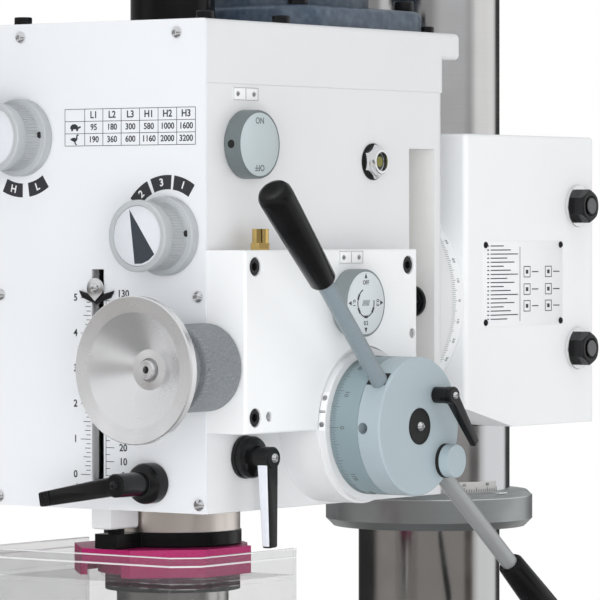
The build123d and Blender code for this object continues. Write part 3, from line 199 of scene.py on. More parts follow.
coat_grain, enter, leave = new_group(
    "coat_grain",
    [("Paint", "Color"), ("Shade", "Color"), ("Grain", "Float"), ("Cloud", "Float")],
    [("Color", "Color"), ("Roughness", "Float"), ("Height", "Float")])
place = own_place(coat_grain)
beads = noise(place, enter["Grain"], 2.0)
cloud_mask = spread(noise(place, enter["Cloud"], 4.0), 0.4, 0.7)
wire(leave, {"Color": mixed(cloud_mask, enter["Paint"], enter["Shade"]),
             "Roughness": spread(beads, 0.3, 0.7, 0.36, 0.52), "Height": beads})

# Edge mask from a bevelled normal and patchy noise: paint rubbed off along edges, and where the edge colour
# is lighter than the paint, also a painted highlight along the edges.
edge_rub_and_highlight, enter, leave = new_group(
    "edge_rub_and_highlight", [("Width", "Float"), ("Amount", "Float")], [("Mask", "Float"), ("Normal", "Vector")])
rounded = add_node(edge_rub_and_highlight, "Bevel", {"Radius": enter["Width"]}, samples=4).outputs[0]
face_normal = add_node(edge_rub_and_highlight, "NewGeometry").outputs["Normal"]
turn = measure("DOT_PRODUCT", rounded, face_normal)
patchy = spread(noise(own_place(edge_rub_and_highlight), 60.0, 3.0), 0.42, 0.6)
wear_and_highlight = maths("MULTIPLY", spread(turn, 0.97, 0.75), patchy)
wire(leave, {"Mask": maths("MULTIPLY", wear_and_highlight, enter["Amount"]), "Normal": rounded})


# Edges take the rub colour through the edge mask: rubbed paint, and a painted edge highlight where that
# colour is lighter.
def painted(name, paint, shade, grain=900.0, bump=0.10, edge=0.0008, rub_and_highlight=0.35, rub_and_highlight_colour=(0.62, 0.63, 0.64),
            cloud=7.0, haze=1.0, specular=0.5):
    material, tree, shader = new_material(name)
    coat = add_node(tree, "Group", {"Paint": paint, "Shade": shade, "Grain": grain, "Cloud": cloud},
                    node_tree=coat_grain).outputs
    rim = add_node(tree, "Group", {"Width": edge, "Amount": rub_and_highlight}, node_tree=edge_rub_and_highlight).outputs
    bumps = add_node(tree, "Bump", {"Strength": bump, "Distance": 0.0006, "Height": coat["Height"],
                                    "Normal": rim["Normal"]})
    wire(shader, {"Base Color": mixed(rim["Mask"], coat["Color"], rub_and_highlight_colour),
                  "Roughness": maths("MULTIPLY", coat["Roughness"], haze),
                  "Normal": bumps.outputs[0], "Specular IOR Level": specular})
    return material


def dress(material, *names):
    for name in names:
        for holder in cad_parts[name].material_slots:
            holder.material = material


def bare_metal(material, bare, steel, rough):
    tree = material.node_tree
    shader = tree.nodes["Principled BSDF"]
    old_colour, old_rough = [shader.inputs[key].links[0].from_socket for key in ("Base Color", "Roughness")]
    wire(shader, {"Base Color": mixed(bare, old_colour, steel),
                  "Roughness": mixed(bare, old_rough, rough), "Metallic": bare})
    return material


def milled_top(material, height):
    tree = material.node_tree
    place = own_place(tree)
    up = axes_of(add_node(tree, "NewGeometry").outputs["Normal"])["Z"]
    bare = maths("MULTIPLY", maths("GREATER_THAN", axes_of(place)["Z"], height - 0.0006),
                 maths("GREATER_THAN", up, 0.9))
    stretch = add_node(tree, "Mapping", {"Vector": place, "Scale": (4.0, 900.0, 1.0)}).outputs[0]
    shine = spread(noise(stretch, 1.0, 3.0), low=0.22, high=0.5)
    return bare_metal(material, bare, (0.56, 0.56, 0.57), shine)


def cast_coat(name):
    return painted(name, (0.57, 0.58, 0.59), (0.52, 0.53, 0.54), grain=420.0, bump=0.25, edge=0.0016)


dress(milled_top(cast_coat("base_coat"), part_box("base_plate")[1].z), "base_plate")
dress(cast_coat("foot_coat"), "column_foot")
# Its lighter edge colour is partly rubbed oxide and partly a painted highlight along the edges.
black_oxide = painted("black_oxide", (0.010, 0.010, 0.011), (0.006, 0.006, 0.007), 1400.0, 0.08, 0.0006,
                      rub_and_highlight=0.7, rub_and_highlight_colour=(0.13, 0.13, 0.135), cloud=40.0, haze=0.5, specular=0.25)
dress(black_oxide, "foot_bolts")

# The pillar: a seamless steel tube, ground round and polished, in the foot, with a pressed cap on top.
# Grinding leaves fine lines round it, and the polish mirrors the room in upright streaks.
upright = (0.0, 0.0, 0.0)
lathe_lines, enter, leave = new_group(
    "lathe_lines", [("Vector", "Vector"), ("Pitch", "Float")], [("Lines", "Float"), ("Streaks", "Float")])
axes = axes_of(enter["Vector"])
across = add_node(lathe_lines, "CombineXYZ", {0: axes[0], 1: axes[1]}).outputs[0]
pair = add_node(lathe_lines, "CombineXYZ", {0: measure("LENGTH", across), 1: axes[2]}).outputs[0]
wide = add_node(lathe_lines, "VectorMath", {0: pair, "Scale": enter["Pitch"]}, operation="SCALE").outputs[0]
wire(leave, {"Lines": noise(wide, 1.0, 3.0),
             "Streaks": noise(enter["Vector"], 25.0, 4.0)})


def turned_metal(name, bright, dull, rough, centre=(0, 0, 0), turn=upright, pitch=1500.0, grain=0.06,
                 swirl=0.0, metal=1.0):
    material, tree, shader = new_material(name)
    centred = add_node(tree, "Mapping", {"Vector": own_place(tree), "Location": centre, "Rotation": turn},
                       vector_type="TEXTURE").outputs[0]
    lathe = add_node(tree, "Group", {"Vector": centred, "Pitch": pitch}, node_tree=lathe_lines).outputs
    ridges = add_node(tree, "Bump", {"Strength": grain, "Distance": 0.0003, "Height": lathe["Lines"]})
    wire(shader, {"Base Color": mixed(lathe["Lines"], dull, bright),
                  "Roughness": spread(lathe["Streaks"], 0.3, 0.7, rough * 0.75, rough * 1.35),
                  "Normal": ridges.outputs[0], "Metallic": metal})
    if swirl:
        grip = add_node(tree, "Tangent", direction_type="RADIAL", axis="Y")
        wire(shader, {"Anisotropic": swirl, "Tangent": grip.outputs[0]})
    return material


# Black mouldings: the lighter edge colour is partly rubbed plastic and partly a painted highlight along the
# edges.
def moulded_black(name, rub_and_highlight_colour, specular):
    return painted(name, (0.006, 0.006, 0.0065), (0.004, 0.004, 0.0045), 1400.0, 0.04, 0.0006, rub_and_highlight=0.6,
                   rub_and_highlight_colour=rub_and_highlight_colour, cloud=40.0, haze=0.45, specular=specular)


ground_steel = turned_metal("ground_steel", (0.64, 0.635, 0.63), (0.60, 0.595, 0.59), 0.13, pitch=700.0,
                            grain=0.03)
sleeve_steel = turned_metal("sleeve_steel", (0.72, 0.725, 0.74), (0.68, 0.685, 0.70), 0.13)
black_plastic = moulded_black("black_plastic", (0.06, 0.06, 0.064), 0.17)
dress(ground_steel, "column_tube")
dress(sleeve_steel, "thrust_sleeve")
dress(black_plastic, "column_cap")

# The work table and its lift: iron castings, a rack on the back of the pillar and a crank with a pinion.
# The table top is milled, the arm clamps on the pillar with a lever, and its flange has a tilt scale.
dress(milled_top(cast_coat("table_coat"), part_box("drill_table")[1].z), "drill_table")
dress(cast_coat("arm_coat"), "table_arm", "table_knee")
machined_steel = turned_metal("machined_steel", (0.50, 0.50, 0.51), (0.40, 0.40, 0.41), 0.30)
dress(machined_steel, "table_rack", "lift_crank")
dress(black_plastic, "crank_grip", "table_clamp_lever")
mm = 0.001
ink_rise, ink_depth = 0.05, 0.16


def flat_colour(name, colour, shade, rough):
    material, tree, shader = new_material(name)
    grain = noise(own_place(tree), 350.0, 3.0)
    wire(shader, {"Base Color": mixed(grain, colour, shade),
                  "Roughness": spread(grain, low=rough * 0.8, high=rough * 1.2)})
    return material


dark_ink = flat_colour("dark_ink", (0.020, 0.021, 0.025), (0.030, 0.031, 0.036), 0.5)


def facing(out, up):
    out = Vector(out).normalized()
    across = Vector(up).cross(out).normalized()
    return Matrix((across, out.cross(across), out)).transposed().to_euler()


def metres(spot):
    return [mm * c for c in spot]


def take(*pieces):
    bpy.ops.object.select_all(action="DESELECT")
    for piece in pieces:
        piece.select_set(True)
    bpy.context.view_layer.objects.active = pieces[0]


def lettering(word, size, spot, turn, weight=0.012):
    bpy.ops.object.select_all(action="DESELECT")
    bpy.ops.object.text_add(location=metres(spot), rotation=turn)
    line = bpy.context.object
    line.data.body = word
    line.data.size = size * mm
    line.data.offset = weight * size * mm
    line.data.resolution_u = 3
    line.data.align_x = "CENTER"
    line.data.align_y = "CENTER"
    bpy.ops.object.convert(target="MESH")
    bpy.ops.object.transform_apply()
    return bpy.context.object


def stroke(width, height, spot, turn):
    bpy.ops.object.select_all(action="DESELECT")
    bpy.ops.mesh.primitive_plane_add(size=mm, location=metres(spot), rotation=turn)
    bpy.context.object.scale = (width, height, 1.0)
    bpy.ops.object.transform_apply()
    return bpy.context.object


def round_spot(ring, angle, radius, height):
    centre, along, start = ring
    out = Matrix.Rotation(radians(angle), 3, Vector(along)) @ Vector(start)
    return Vector(centre) + out * radius + Vector(along) * height, facing(out, along)


def ring_ticks(ring, radius, first, step, count, height, reach, wide=0.35):
    centre, along, start = ring
    ticks = stroke(wide, reach, *round_spot(ring, first, radius, height + reach / 2))
    bpy.ops.object.mode_set(mode="EDIT")
    bpy.ops.mesh.select_all(action="SELECT")
    bpy.ops.mesh.spin(steps=count - 1, dupli=True, angle=radians(step * (count - 1)),
                      center=Vector(centre) * mm, axis=-Vector(along))
    bpy.ops.object.mode_set(mode="OBJECT")
    return ticks


def gather(parts):
    take(*parts)
    if len(parts) > 1:
        bpy.ops.object.join()
    return bpy.context.object


def use(piece, kind, **settings):
    take(piece)
    step = piece.modifiers.new(kind.lower(), kind)
    for key, value in settings.items():
        setattr(step, key, value)
    bpy.ops.object.modifier_apply(modifier=step.name)


def keep(piece, name, material, body, smooth=30.0):
    take(piece)
    piece.name = name
    bpy.ops.object.transform_apply()
    bpy.ops.object.shade_smooth_by_angle(angle=radians(smooth))
    piece.data.materials.clear()
    piece.data.materials.append(material)
    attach(piece, body)
    return piece


def print_on(parts, name, material, body="drill_head"):
    sheet = gather(parts)
    use(sheet, "SOLIDIFY", thickness=ink_depth * mm, offset=0.0)
    return keep(sheet, name, material, body)


def arc_scale(name, ring, radius, ticks, degrees, size, height, ink, body):
    marks = [ring_ticks(ring, radius, *tick) for tick in ticks]
    for degree in degrees:
        marks.append(lettering(str(abs(degree)), size, *round_spot(ring, degree, radius, height)))
    print_on(marks, name, ink, body)


arm_flange = ((0, -205, 655), (0, 1, 0), (0, 0, 1))
arc_scale("arm_tilt_scale", arm_flange, 60 + ink_rise, ((-45, 5, 19, 1, 5), (-45, 15, 7, 1, 8)),
          range(-45, 46, 15), 6, 13.5, dark_ink, "table_arm")

# The collar that the head stands on: a turned grey ring, clamped on the pillar under the carrier.
# A white scale band lies round the front of the thrust sleeve's foot, and a wedge on the collar points at it.
collar_grey = turned_metal("collar_grey", (0.43, 0.45, 0.45), (0.39, 0.41, 0.41), 0.42, pitch=900.0,
                           grain=0.04)
bright_steel = turned_metal("bright_steel", (0.86, 0.86, 0.87), (0.76, 0.76, 0.77), 0.12)
dress(collar_grey, "column_collar")


def swept(ends, centre, axis, span, steps=10, depth=0.0):
    bpy.ops.object.select_all(action="DESELECT")
    bpy.ops.mesh.primitive_plane_add(size=mm)
    piece = bpy.context.object
    bpy.ops.object.mode_set(mode="EDIT")
    shape = bmesh.from_edit_mesh(piece.data)
    bmesh.ops.delete(shape, geom=list(shape.verts)[2:], context="VERTS")
    for vert, end in zip(shape.verts, ends):
        vert.co = Vector(end) * mm
    bmesh.update_edit_mesh(piece.data)
    bpy.ops.mesh.select_all(action="SELECT")
    bpy.ops.mesh.spin(steps=steps, angle=radians(span), center=Vector(centre) * mm, axis=-Vector(axis))
    bpy.ops.mesh.select_all(action="SELECT")
    bpy.ops.mesh.remove_doubles(threshold=0.01 * mm)
    bpy.ops.mesh.normals_make_consistent(inside=False)
    bpy.ops.object.mode_set(mode="OBJECT")
    if depth:
        use(piece, "SOLIDIFY", thickness=depth * mm, offset=0.0)
    return piece


def put(piece, spot, turn):
    take(piece)
    piece.location = metres(spot)
    piece.rotation_euler = turn
    bpy.ops.object.transform_apply()
    return piece


def plate(points, depth, spot, turn, bevel=0.0):
    bpy.ops.object.select_all(action="DESELECT")
    bpy.ops.mesh.primitive_circle_add(vertices=len(points), radius=mm, fill_type="NGON")
    piece = bpy.context.object
    for vert, (across, up) in zip(piece.data.vertices, points):
        vert.co = (across * mm, up * mm, 0.0)
    if depth:
        use(piece, "SOLIDIFY", thickness=depth * mm, offset=1.0)
    put(piece, spot, turn)
    if bevel:
        use(piece, "BEVEL", width=bevel * mm, segments=2)
    return piece


# A thin bright steel ring at the chamfer's lower edge is a painted highlight along the collar's top edge.
edge_highlight_line = swept(((82.04, 0, 1279.7), (81.74, 0, 1280.4)), (0, 0, 0), (0, 0, 1), 360, 96, 0.1)
keep(edge_highlight_line, "collar_edge_line", bright_steel, "stand")
collar_top = 1284.0
band = swept(((64.1, 0, 1284.6), (64.1, 0, 1293.0)), (0, 0, 0), (0, 0, -1), 180, 64, 0.2)
grey_ink = flat_colour("grey_ink", (0.10, 0.12, 0.13), (0.14, 0.16, 0.17), 0.5)
white_ink = flat_colour("white_ink", (0.82, 0.83, 0.85), (0.76, 0.77, 0.79), 0.5)
band_white = flat_colour("band_white", (0.60, 0.59, 0.58), (0.54, 0.53, 0.52), 0.5)
keep(band, "swing_scale_band", band_white, "stand")
sleeve_foot = ((0, 0, collar_top), (0, 0, 1), (0, -1, 0))
arc_scale("swing_scale_print", sleeve_foot, 64.3, ((-90, 2, 91, 1.0, 2.2, 0.4), (-90, 10, 19, 1.0, 3.6, 0.5)),
          range(-80, 81, 20), 3.4, 6.6, grey_ink, "stand")
swing_wedge = plate(((67, 0), (76, -4.5), (79, -4.5), (79, 4.5), (76, 4.5)), 0.6, (0, 0, collar_top),
                    (0, 0, radians(-8)))
keep(swing_wedge, "swing_wedge", white_ink, "stand")

# The head carrier: a cast box split at the back, which two studs and black nuts pinch on the pillar.
# It has the off-white structured coat of the whole head, here as a lighter copy that paints the light on it,
# and a riveted plate with ruled lines.


def head_coat(name, paint, shade):
    return painted(name, paint, shade, edge=0.0009, rub_and_highlight=0.3)


# The carrier and feed box take a lighter copy of the head coat, painted light.
lit_head_coat = head_coat("lit_head_coat", (0.83, 0.845, 0.86), (0.81, 0.825, 0.84))
dress(lit_head_coat, "head_carrier")


def turned(outline, spot=(0, 0, 0), turn=upright, sides=64):
    height, radius = outline[0]
    bpy.ops.object.select_all(action="DESELECT")
    bpy.ops.mesh.primitive_circle_add(vertices=sides, radius=radius * mm, fill_type="NGON")
    piece = bpy.context.object
    bpy.ops.object.mode_set(mode="EDIT")
    bpy.ops.mesh.select_all(action="SELECT")
    bpy.ops.transform.translate(value=(0, 0, height * mm))
    for next_height, next_radius in outline[1:]:
        climb = (0, 0, (next_height - height) * mm)
        bpy.ops.mesh.extrude_region_move(TRANSFORM_OT_translate={"value": climb})
        scale = next_radius / radius
        if scale != 1.0:
            bpy.ops.transform.resize(value=(scale, scale, 1.0), center_override=(0, 0, next_height * mm))
        height, radius = next_height, next_radius
    bpy.ops.mesh.select_all(action="SELECT")
    bpy.ops.mesh.normals_make_consistent(inside=False)
    bpy.ops.object.mode_set(mode="OBJECT")
    return put(piece, spot, turn)


def cut(piece, tool, operation="DIFFERENCE"):
    use(piece, "BOOLEAN", operation=operation, object=tool, solver="EXACT")
    bpy.data.objects.remove(tool)
    return piece


def six_sided(radius, low, high):
    bpy.ops.object.select_all(action="DESELECT")
    bpy.ops.mesh.primitive_cylinder_add(vertices=6, radius=radius * mm, depth=(high - low) * mm,
                                        location=(0, 0, (low + high) / 2 * mm))
    bpy.ops.object.transform_apply()
    return bpy.context.object


def hex_nut(flats, low, high):
    corner = flats / sqrt(3)
    outline = ((low - 0.1, corner * 1.01), (high - 0.07 * flats, corner * 1.01), (high, flats * 0.47))
    return cut(six_sided(corner, low, high), turned(outline, sides=48), "INTERSECT")


def copies(model, spots, turn):
    made = []
    for spot in spots:
        take(model)
        bpy.ops.object.duplicate()
        made.append(put(bpy.context.object, spot, turn))
    bpy.data.objects.remove(model)
    return gather(made)


def socket_screw(head, rise, socket, dome=True, depth=0.5):
    if dome:
        outline = ((-1.0, head * 0.7), (0.0, head), (rise * 0.25, head * 0.98), (rise * 0.55, head * 0.86),
                   (rise * 0.8, head * 0.66), (rise, head * 0.42))
    else:
        outline = ((-1.0, head * 0.95), (0.0, head), (rise - 0.5, head), (rise, head - 0.5))
    return cut(turned(outline, sides=32), six_sided(socket, rise * (1 - depth), rise + 1))


def fit_screws(name, size, spots, turn, metal, body="drill_head"):
    domed = len(size) == 3
    screws = copies(socket_screw(*size), spots, turn)
    return keep(screws, name, metal, body, 40.0 if domed else 30.0)


face_right = facing((1, 0, 0), (0, 0, 1))
face_left = facing((-1, 0, 0), (0, 0, 1))
stud_spots = [(92, 73, 1396), (92, 73, 1509)]
washers = copies(turned(((0.0, 16.4), (0.4, 16.8), (2.6, 16.8), (3.0, 16.4))), stud_spots, face_right)
bore = turned(((12.0, 7.6), (13.2, 7.6), (14.2, 8.8)), sides=40)
nuts = copies(cut(hex_nut(23, 3, 14), bore), stud_spots, face_right)
stud_ends = copies(turned(((11.9, 6.6), (14.6, 6.6), (15.2, 6.0)), sides=40), stud_spots, face_right)
stud_steel = turned_metal("stud_steel", (0.22, 0.225, 0.23), (0.09, 0.093, 0.096), 0.35)
heads = copies(hex_nut(24, 0, 14), [(-x, y, z) for x, y, z in stud_spots], face_left)
keep(washers, "carrier_washers", bright_steel, "head_carrier")
keep(stud_ends, "carrier_stud_ends", stud_steel, "head_carrier")
carrier_nuts = keep(gather([nuts, heads]), "carrier_clamp_nuts", black_oxide, "head_carrier")
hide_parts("carrier_nuts")

plate_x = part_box("head_carrier")[1].x / mm
plate_deep = 0.5
plate_y0, plate_y1, plate_z0, plate_z1 = -60.0, 52.0, 1415.5, 1481.5
plate_corners = ((plate_y0, plate_z0), (plate_y1, plate_z0), (plate_y1, plate_z1), (plate_y0, plate_z1))
type_plate = plate(plate_corners, plate_deep, (plate_x, 0, 0), face_right, 0.2)
plate_white = flat_colour("plate_white", (0.84, 0.85, 0.865), (0.81, 0.82, 0.835), 0.35)
keep(type_plate, "type_plate", plate_white, "head_carrier")


def rule(width, height, y, z):
    return stroke(width, height, (plate_x + plate_deep + ink_rise, y, z), face_right)


ruled = [rule(0.5, 58, -9.0, 1448)]
for row in range(19):
    row_z = 1477.7 - 3.15 * row
    length = 18 + 5 * (row * 7 % 5)
    ruled += [rule(2.4, 0.9, -53.5, row_z), rule(length, 0.8, -50.0 + length / 2, row_z)]
for box_y in (1.0, 31.5):
    for box_z in (1457.4, 1443.8, 1430.7):
        for side in (-1, 1):
            ruled += [rule(0.6, 8.2, box_y + side * 4.4, box_z), rule(9.4, 0.6, box_y, box_z + side * 4.1)]
        ruled += [rule(3.4, 3.0, box_y, box_z), rule(9.0, 0.8, box_y + 11.5, box_z)]
print_on(ruled, "type_plate_lines", dark_ink, "head_carrier")
rivet_spots = [(plate_x + plate_deep, y, z)
               for y in (plate_y0 + 3, plate_y1 - 3) for z in (plate_z0 + 3, plate_z1 - 3)]
fit_screws("type_plate_rivets", (2.6, 1.6, 0.8), rivet_spots, face_right, black_oxide, "head_carrier")

tilt_seat = ((0, -98, 1436), (0, 1, 0), (1, 0, 0))
arc_scale("head_tilt_scale", tilt_seat, 90 + ink_rise, ((-60, 1, 121, 0.4, 3.4), (-60, 5, 25, 0.4, 5.2)),
          range(-60, 61, 10), 4.0, 8.8, grey_ink, "head_carrier")

# The gear head: a cast housing with a screwed-on cover, a sheet front panel and a feed box, all in the same
# coat, given as a lighter copy on the feed box and darker copies on the housing, cover and panel, which are
# painted light and shade. The quill boss below is bare metal. Black nuts hold the head on the carrier and let
# it tilt.
# The housing and cover take a darker copy of the head coat, painted shade.
shaded_head_paint = ((0.71, 0.72, 0.735), (0.69, 0.70, 0.715))
bare_rough = (0.34, 0.34, 0.34)
quill_axis, boss_radius, boss_top = (0, -0.33, 0), 0.0505, 1.2895
pocket_side, pocket_middle, pocket_reach = 0.0970, -0.1505, 0.0172
housing_coat = head_coat("housing_coat", *shaded_head_paint)
tree = housing_coat.node_tree
level = axes_of(own_place(tree))
flat = add_node(tree, "CombineXYZ", {0: level["X"], 1: level["Y"]}).outputs[0]
boss = maths("MULTIPLY", maths("LESS_THAN", measure("DISTANCE", flat, quill_axis), boss_radius),
             maths("LESS_THAN", level["Z"], boss_top))
# The rear pocket's faces get a lighter colour, painted light that lifts the shade inside the pocket.
inside = maths("LESS_THAN", maths("ABSOLUTE", level["X"]), pocket_side)
pocket_painted_light = maths("MULTIPLY", inside, maths("COMPARE", level["Y"], pocket_middle, pocket_reach))
shader = tree.nodes["Principled BSDF"]
coat_colour = shader.inputs["Base Color"].links[0].from_socket
wire(shader, {"Base Color": mixed(pocket_painted_light, coat_colour, (0.75, 0.75, 0.745))})
dress(bare_metal(housing_coat, boss, (0.90, 0.83, 0.77), bare_rough), "gear_housing")
dress(lit_head_coat, "feed_box")
dress(head_coat("cover_coat", *shaded_head_paint), "top_cover")
panel_white = painted("panel_white", (0.765, 0.785, 0.815), (0.75, 0.77, 0.80), 1100.0, 0.05, 0.0005, rub_and_highlight=0.2)
dress(panel_white, "front_panel")
dress(black_oxide, "tilt_nuts")
cover_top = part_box("top_cover")[1].z / mm
cover_spots = [(side * x, y, cover_top) for side in (-1, 1) for x, y in ((84, -400), (84, -310), (70, -106))]
fit_screws("cover_screws", (6.5, 6.0, 3.2, False), cover_spots, upright, black_oxide)

# The print on the front panel: a table of speeds, the marks of both selectors and a depth scale
# on both sides of the slot, screened on in dark ink. The selectors' digits are white on dark fields.
panel_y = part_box("front_panel")[0].y / mm
print_y = panel_y - ink_rise
fat_print = 0.02
face_front = facing((0, -1, 0), (0, 0, 1))


def mark(width, height, x, z):
    return stroke(width, height, (x, print_y, z), face_front)


def panel_word(word, size, x, z):
    return lettering(str(word), size, (x, print_y, z), face_front, fat_print)


table_left, table_right, table_low, table_high = -30.4, 88.6, 1550.6, 1577.0
table_tall, table_middle = table_high - table_low, (table_low + table_high) / 2
first_column, line_wide = 18.3, 0.4
row_step = table_tall / 3
column_step = (table_right - table_left - first_column) / 6
table_print = [mark(line_wide, table_tall, table_left, table_middle)]
for row in range(4):
    row_z = table_low + row * row_step
    table_print.append(mark(table_right - table_left, line_wide, (table_left + table_right) / 2, row_z))
for column in range(7):
    column_x = table_left + first_column + column * column_step
    table_print.append(mark(line_wide, table_tall, column_x, table_middle))
for row, cells in enumerate(((190, 360, 600, 1160, 2000, 3200), (95, 180, 300, 580, 1000, 1600),
                             ("L1", "L2", "L3", "H1", "H2", "H3"))):
    cell_size, cell_z = 6.2 if row < 2 else 7.0, table_low + (row + 0.5) * row_step
    for column, cell in enumerate(cells):
        cell_x = table_left + first_column + (column + 0.5) * column_step
        table_print.append(panel_word(cell, cell_size, cell_x, cell_z))
slow_shape = ((-4.5, -0.8), (-3.8, 1.2), (-2.0, 2.4), (0.4, 2.5), (2.2, 1.6), (3.2, 0.2), (4.2, 1.0),
              (5.4, 0.9), (5.6, 0.1), (4.4, -0.6), (3.2, -0.9), (3.0, -2.5), (1.4, -2.5), (1.2, -1.2),
              (-1.6, -1.2), (-1.8, -2.5), (-3.4, -2.5), (-3.4, -1.0))
fast_shape = ((-4.4, 0.4), (-2.6, 1.3), (-0.4, 1.6), (1.0, 1.0), (1.5, 3.2), (2.2, 4.0), (3.8, 3.6),
              (3.4, 3.0), (2.5, 2.9), (2.4, 0.3), (1.4, -0.9), (0.6, -1.4), (1.0, -2.6), (2.2, -3.8),
              (0.9, -3.8), (-0.2, -2.6), (-0.6, -1.4), (-2.6, -0.8))
for row, outline in enumerate((fast_shape, slow_shape)):
    spot = (table_left + first_column / 2, print_y, table_low + (row + 0.5) * row_step)
    table_print.append(plate(outline, 0, spot, face_front))
print_on(table_print, "speed_table_print", dark_ink)

depth_zero = 1314.5
mm_side, inch_side, tick_wide, digit_size = 7.6, -6.6, 0.45, 7.2
depth_print = [mark(line_wide, 131.0, mm_side, depth_zero + 65.0)]
for depth in range(0, 131, 5):
    long_mark = depth % 10 == 0
    reach = 7.5 if long_mark else 3.6
    depth_print.append(mark(reach, tick_wide, mm_side + reach / 2, depth_zero + depth))
    if long_mark:
        depth_print.append(panel_word(depth, digit_size, 23.4, depth_zero + depth))
for eighth in range(0, 5 * 8 + 1):
    reach = 9.0 if eighth % 8 == 0 else 6.5 if eighth % 4 == 0 else 5.0 if eighth % 2 == 0 else 3.8
    mark_z = depth_zero + eighth * 25.4 / 8
    depth_print.append(mark(reach, tick_wide, inch_side - reach / 2, mark_z))
    if eighth % 8 == 0:
        depth_print.append(panel_word(eighth // 8, digit_size, -20.5, mark_z))
depth_print += [panel_word(unit, 6.0, x, depth_zero - 8.5) for unit, x in (("inch", -15.0), ("mm", 14.0))]
print_on(depth_print, "depth_scale_print", dark_ink)


def gear_marks(name, centre_x, centre_z, words, digit_turn):
    fields, digits = [], []
    centre = (centre_x, print_y, centre_z)
    for word, middle in words:
        start = radians(middle - 13.0)
        ends = [(centre_x + r * cos(start), print_y, centre_z + r * sin(start)) for r in (33.0, 43.2)]
        fields.append(swept(ends, centre, (0, -1, 0), 26.0))
        angle, lean = radians(middle), radians(middle - 90 + digit_turn)
        spot = (centre_x + 38.1 * cos(angle), print_y - 0.14, centre_z + 38.1 * sin(angle))
        digits.append(lettering(word, 7.6, spot, facing((0, -1, 0), (-sin(lean), 0, cos(lean))), fat_print))
    print_on(fields, name + "_fields", dark_ink)
    print_on(digits, name + "_digits", white_ink, "drill_head")


speed_centre, range_centre = (64.0, 1486.0), (-70.0, 1557.0)
gear_marks("speed_marks", *speed_centre, (("1", 69.4), ("3", 98.7), ("2", 128.9)), 0.0)
gear_marks("range_marks", *range_centre, (("H", 256.8), ("L", 291.3)), 180.0)

# The selector knobs: grey cast knobs with a flared skirt, a knurled band and a turned rim, each with
# a white insert that carries a dark wedge as pointer. They sit on the selector shafts.
# The knob's pale edge colour is partly rubbed paint and partly a painted highlight line on the rim.
knob_grey = painted("knob_grey", (0.44, 0.465, 0.48), (0.40, 0.425, 0.44), 2600.0, 0.10, 0.0005, rub_and_highlight=0.4,
                    rub_and_highlight_colour=(0.70, 0.72, 0.73))
knob_face = flat_colour("knob_face", (0.66, 0.685, 0.725), (0.64, 0.66, 0.70), 0.35)
pointer_blue = flat_colour("pointer_blue", (0.028, 0.036, 0.048), (0.036, 0.045, 0.058), 0.35)
# Dark pieces laid on holes, slots and gaps are painted shade that stands in for the hollow inside them.
painted_hole_shade = flat_colour("painted_hole_shade", (0.004, 0.004, 0.004), (0.008, 0.008, 0.008), 0.6)


def pick_faces(piece, wanted):
    take(piece)
    bpy.ops.object.mode_set(mode="EDIT")
    bpy.ops.mesh.select_mode(type="FACE")
    bpy.ops.mesh.select_all(action="DESELECT")
    shape = bmesh.from_edit_mesh(piece.data)
    for face in shape.faces:
        face.select_set(bool(wanted(face.calc_center_median() / mm, face.normal)))
    bmesh.update_edit_mesh(piece.data)


# A set-screw hole is a dark disc, painted shade for the inside of the hole.
def screw_hole(name, body, radius, spot, turn):
    hole = turned(((-0.4, radius), (0.1, radius), (0.2, radius * 0.94)), spot, turn, 24)
    keep(hole, name, painted_hole_shade, body)


def selector_knob(node, centre_x, centre_z, aim):
    foot = (centre_x, panel_y, centre_z)
    outline = ((0.4, 26.6), (1.2, 28.0), (7.6, 28.0), (8.6, 27.2), (8.9, 24.2), (11.0, 24.0), (25.0, 24.0),
               (25.6, 24.2), (27.0, 24.7), (33.0, 25.5), (35.2, 25.4), (36.0, 24.6), (36.0, 21.6),
               (34.6, 21.3))
    knob = turned(outline, foot, face_front, 144)
    pick_faces(knob, lambda spot, normal: panel_y - 24.9 < spot.y < panel_y - 11.1)
    shape = bmesh.from_edit_mesh(knob.data)
    band = [face for face in shape.faces if face.select]
    band.sort(key=lambda face: Vector((face.normal.x, face.normal.z)).angle_signed(Vector((1, 0))))
    for count, face in enumerate(band):
        face.select_set(count % 2 == 0)
    bmesh.update_edit_mesh(knob.data)
    bpy.ops.mesh.extrude_faces_move(TRANSFORM_OT_shrink_fatten={"value": -0.45 * mm})
    bpy.ops.object.mode_set(mode="OBJECT")
    keep(knob, node + "_body", knob_grey, node)
    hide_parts(node)
    insert = turned(((34.2, 21.0), (34.8, 21.0), (34.9, 20.8)), foot, face_front)
    keep(insert, node + "_face", knob_face, node)
    angles = [radians(aim + turn) for turn in (0, 152, 171, 190, 209)]
    corners = [(19.8 * cos(angle), 19.8 * sin(angle)) for angle in angles]
    wedge = plate(corners, 0.2, (centre_x, panel_y - 34.85, centre_z), face_front)
    keep(wedge, node + "_wedge", pointer_blue, node)
    screw_hole(node + "_set_screw", node, 2.4, *round_spot((foot, (0, -1, 0), (1, 0, 0)), 4, 24.1, 10.2))


selector_knob("range_knob", *range_centre, 291.3)
selector_knob("speed_knob", *speed_centre, 111.0)

# Small bright screws with a round head and a hexagon socket hold the front panel.
# Each is turned steel, nickel plated and polished.
panel_spots = [(side * x, panel_y, z)
               for side in (-1, 1) for x, z in ((72.0, 1630.0), (91.0, 1443.0), (92.0, 1296.5))]
panel_heads = fit_screws("panel_heads", (4.6, 3.2, 1.9), panel_spots, face_front, bright_steel)
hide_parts("panel_screws")

